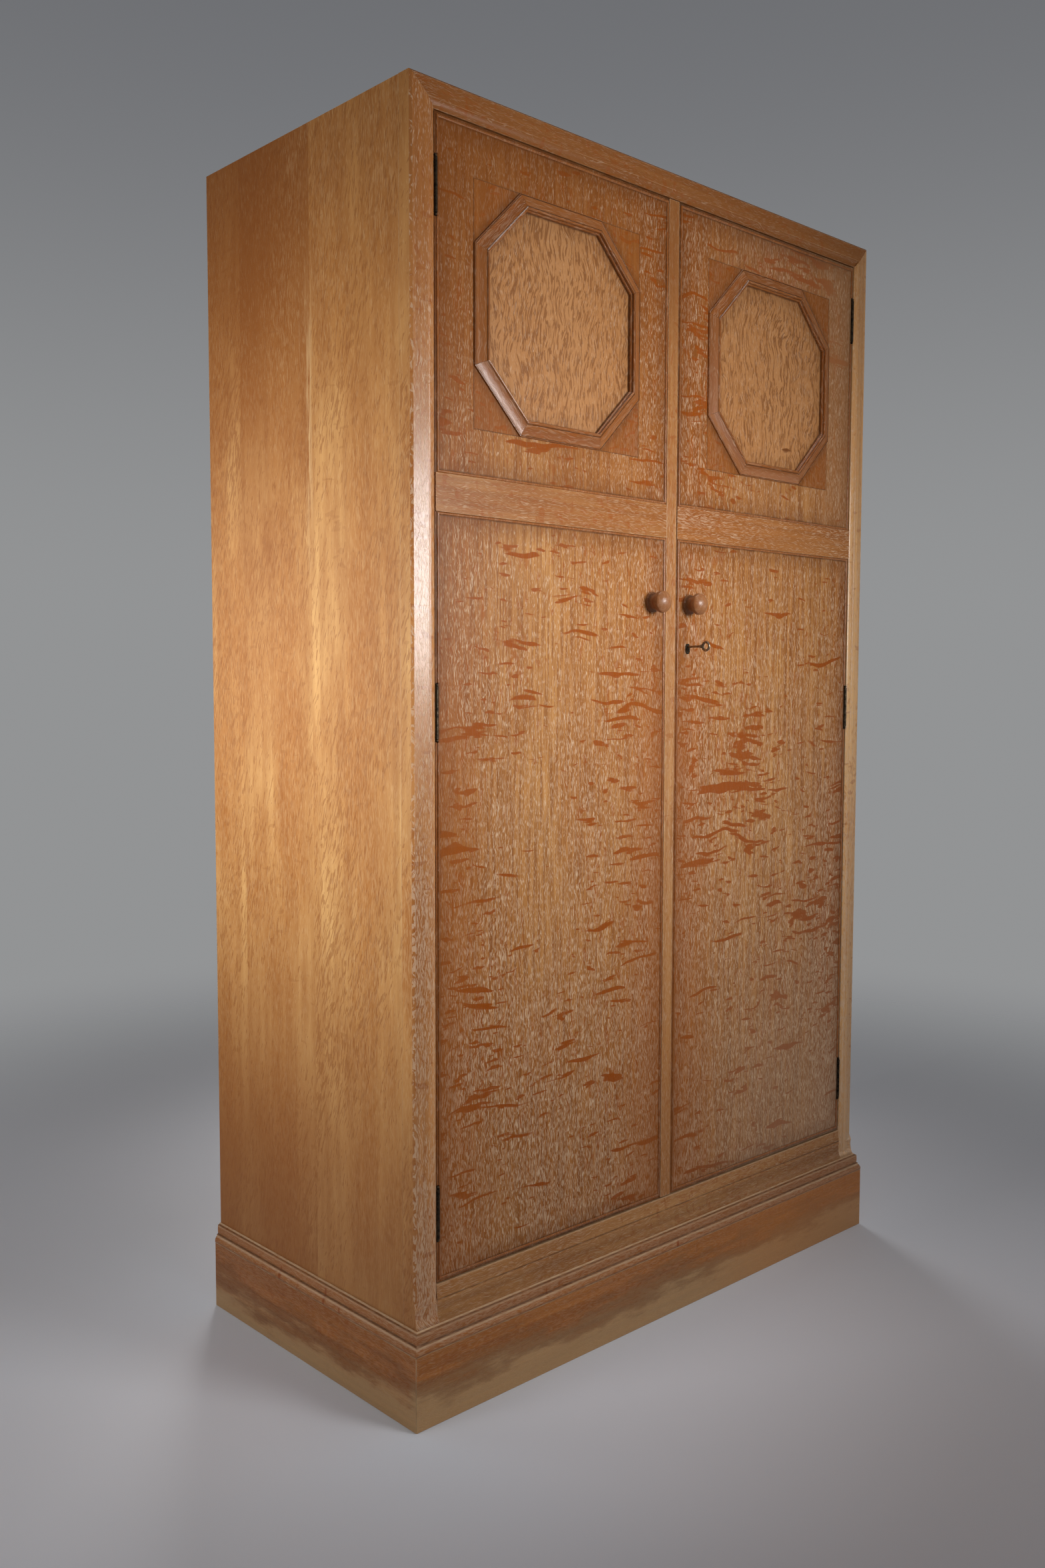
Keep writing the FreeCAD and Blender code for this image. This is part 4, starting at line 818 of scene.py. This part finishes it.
carcassPieces = {  # node: finish, how far its edges are eased, way of the grain
    "left_side": ("side", 0.0008, "upSide"), "right_side": ("side", 0.0008, "upSide"),
    "top_panel": ("inner", 0.0008, "acrossFlat"), "bottom_panel": ("inner", 0.0006, "acrossFlat"),
    "back_panel_left": ("board", 0.0008, "upFront"), "back_panel_right": ("board", 0.0008, "upFront"),
    "back_muntin": ("board", 0.0010, "upFront"), "left_stile": ("stile", 0.0003, "upFront"),
    "right_stile": ("litStile", 0.0003, "upFront"), "top_rail": ("frame", 0.0003, "acrossFront"),
    "bottom_rail": ("frame", 0.0004, "acrossFront"), "plinth_front": ("plinth", 0.0014, "acrossFront"),
    "plinth_left": ("plinth", 0.0014, "alongSide"), "plinth_right": ("plinth", 0.0014, "alongSide"),
    "plinth_back": ("inner", 0.0010, "acrossFront"),
    "plinth_moulding_front": ("plinthMoulding", 0.0005, "acrossFront"),
    "plinth_moulding_left": ("plinthMoulding", 0.0005, "alongSide"),
    "plinth_moulding_right": ("plinthMoulding", 0.0005, "alongSide"),
    "plinth_blocks": ("inner", 0.0010, "upFront"), "hat_shelf": ("inner", 0.0010, "acrossFlat"),
    "shelf_bearers": ("inner", 0.0010, "alongSide"), "top_stop": ("inner", 0.0006, "acrossFront"),
    "hanging_rail": ("turned", 0.0, "acrossFront"),
}
doorPieces = {
    "left_door_slab": ("door", 0.0004, "upFront"), "right_door_slab": ("door", 0.0004, "upFront"),
    "left_mid_rail": ("frame", 0.0005, "acrossFront"), "right_mid_rail": ("shadedRail", 0.0005, "acrossFront"),
    "meeting_strip": ("strip", 0.0010, "upFront"), "left_octagon_panel": ("panel", 0.0, "upFront"),
    "right_octagon_panel": ("panel", 0.0, "upFront"), "left_spandrels": ("spandrel", 0.0, "upFront"),
    "right_spandrels": ("spandrel", 0.0, "upFront"), "left_knob": ("turned", 0.0, "upFront"),
    "right_knob": ("turned", 0.0, "upFront"), "left_upper_beads": ("moulding", 0.0, "upFront"),
    "left_lower_beads": ("moulding", 0.0, "upFront"), "right_upper_beads": ("moulding", 0.0, "upFront"),
    "right_lower_beads": ("moulding", 0.0, "upFront"),
}
metalPieces = {
    "left_hinge_frame_leaves": "bronze", "right_hinge_frame_leaves": "bronze", "left_hinge_door_leaves": "bronze",
    "right_hinge_door_leaves": "bronze", "left_hinge_pins": "bronze", "right_hinge_pins": "bronze",
    "frame_screws": "bronze", "left_door_screws": "bronze", "right_door_screws": "bronze", "escutcheon": "bronze",
    "key": "steel", "lock_case": "brass", "lock_bolt": "brass", "strike_plate": "brass", "bolt_guides": "brass",
    "bolt_keepers": "brass", "top_bolt": "brass", "bottom_bolt": "brass", "rail_sockets": "brass",
}
for seed, (node, (finish, ease, way)) in enumerate({**carcassPieces, **doorPieces}.items()):
    easedCopy(node, finish, ease, way, seed)
for node, finish in metalPieces.items():
    easedCopy(node, finish)
print("pieces:", len(carcassPieces) + len(doorPieces) + len(metalPieces))


# floor, light and camera

studio = {
    "floor": (0.74, 0.765, 0.83, 1), "floorRadius": 9.0, "floorSides": 96, "floorRough": 0.6,
    "floorFade": (1.1, 3.0), "wall": (0.29, 0.295, 0.30, 1), "wallTop": (0.15, 0.154, 0.165, 1),
    "wallRise": (0.05, 0.5), "fill": 0.2, "mirrored": 0.07,
}


def makeFloor():
    bm = bmesh.new()
    bmesh.ops.create_circle(bm, cap_ends=True, segments=studio["floorSides"], radius=studio["floorRadius"])
    mesh = bpy.data.meshes.new("floor")
    bm.to_mesh(mesh)
    bm.free()
    floor = bpy.data.objects.new("floor", mesh)
    bpy.context.scene.collection.objects.link(floor)
    material = bpy.data.materials.new("paleFloor")
    material.use_nodes = True
    tree = material.node_tree
    shader = tree.nodes["Principled BSDF"]
    place = addNode(tree, "ShaderNodeTexCoord").outputs["Object"]
    reach = addNode(tree, "ShaderNodeVectorMath", {0: place}, operation="LENGTH").outputs["Value"]
    tree.links.new(fade(tree, reach, *studio["floorFade"]), shader.inputs["Alpha"])
    shader.inputs["Base Color"].default_value = studio["floor"]
    shader.inputs["Roughness"].default_value = studio["floorRough"]
    mesh.materials.append(material)


def makeWorld():
    world = bpy.data.worlds.new("studio")
    world.use_nodes = True
    tree = world.node_tree
    background = tree.nodes["Background"]
    path = addNode(tree, "ShaderNodeLightPath").outputs
    fill, mirrored = ((level, level, level, 1) for level in (studio["fill"], studio["mirrored"]))
    color = mixColor(tree, path["Is Glossy Ray"], fill, mirrored)
    way = addNode(tree, "ShaderNodeTexCoord").outputs["Generated"]
    rise = addNode(tree, "ShaderNodeSeparateXYZ", {0: way}).outputs["Z"]
    wall = mixColor(tree, ramp(tree, rise, *studio["wallRise"]), studio["wall"], studio["wallTop"])
    tree.links.new(mixColor(tree, path["Is Camera Ray"], color, wall), background.inputs["Color"])
    bpy.context.scene.world = world


lamps = {  # place, target, width, height, spread in degrees, watts
    "frontLamp": ((0.10, -1.50, 1.30), (-0.32, 0.0, 1.10), 0.5, 0.5, 100, 6.1),
    "leftLamp": ((-1.75, 0.10, 1.06), (-0.5, 0.10, 1.02), 0.5, 0.5, 90, 5.3),
    "rearLamp": ((-1.9, 1.9, 1.2), (-0.5, 0.1, 1.1), 1.0, 0.8, 180, 4.0),
    "rightLamp": ((3.1, -2.4, 0.45), (0.2, -0.2, 0.6), 1.5, 0.7, 180, 3.5),
    "backLamp": ((1.6, 2.6, 1.2), (0.25, 0.2, 1.05), 1.0, 0.8, 60, 7.0),
    "topLamp": ((0.0, -0.4, 3.3), (0.0, 0.05, 1.2), 1.2, 0.8, 36, 1.0),
}


def makeLamps():
    for name, (place, target, width, height, spread, watts) in lamps.items():
        data = bpy.data.lights.new(name, "AREA")
        data.shape = "RECTANGLE"
        data.size = width
        data.size_y = height
        data.spread = math.radians(spread)
        data.energy = watts
        lamp = bpy.data.objects.new(name, data)
        lamp.location = place
        lamp.rotation_euler = (Vector(target) - Vector(place)).to_track_quat("-Z", "Y").to_euler()
        bpy.context.scene.collection.objects.link(lamp)


photoView = {  # fitted to the straight edges in the photo; angles in degrees
    "place": (-1.66073, -1.66423, 1.02597), "yaw": 42.990, "pitch": 4.044, "roll": -0.120,
    "focalPixels": 2027.0, "tallPixels": 2352.0,
}


def makeCamera():
    yaw, pitch, roll = (math.radians(photoView[angle]) for angle in ("yaw", "pitch", "roll"))
    ahead = Vector((math.sin(yaw) * math.cos(pitch), math.cos(yaw) * math.cos(pitch), -math.sin(pitch)))
    level = Vector((math.cos(yaw), -math.sin(yaw), 0))
    down = ahead.cross(level)
    right = math.cos(roll) * level + math.sin(roll) * down
    up = math.sin(roll) * level - math.cos(roll) * down
    data = bpy.data.cameras.new("photoCamera")
    data.lens = photoView["focalPixels"] / photoView["tallPixels"] * data.sensor_width
    camera = bpy.data.objects.new("photoCamera", data)
    turn = Matrix((right, up, -ahead)).transposed().to_4x4()
    camera.matrix_world = Matrix.Translation(photoView["place"]) @ turn
    bpy.context.scene.collection.objects.link(camera)
    bpy.context.scene.camera = camera


makeFloor()
makeWorld()
makeLamps()
makeCamera()
bpy.context.scene.view_settings.view_transform = "Standard"
print("studio ready")
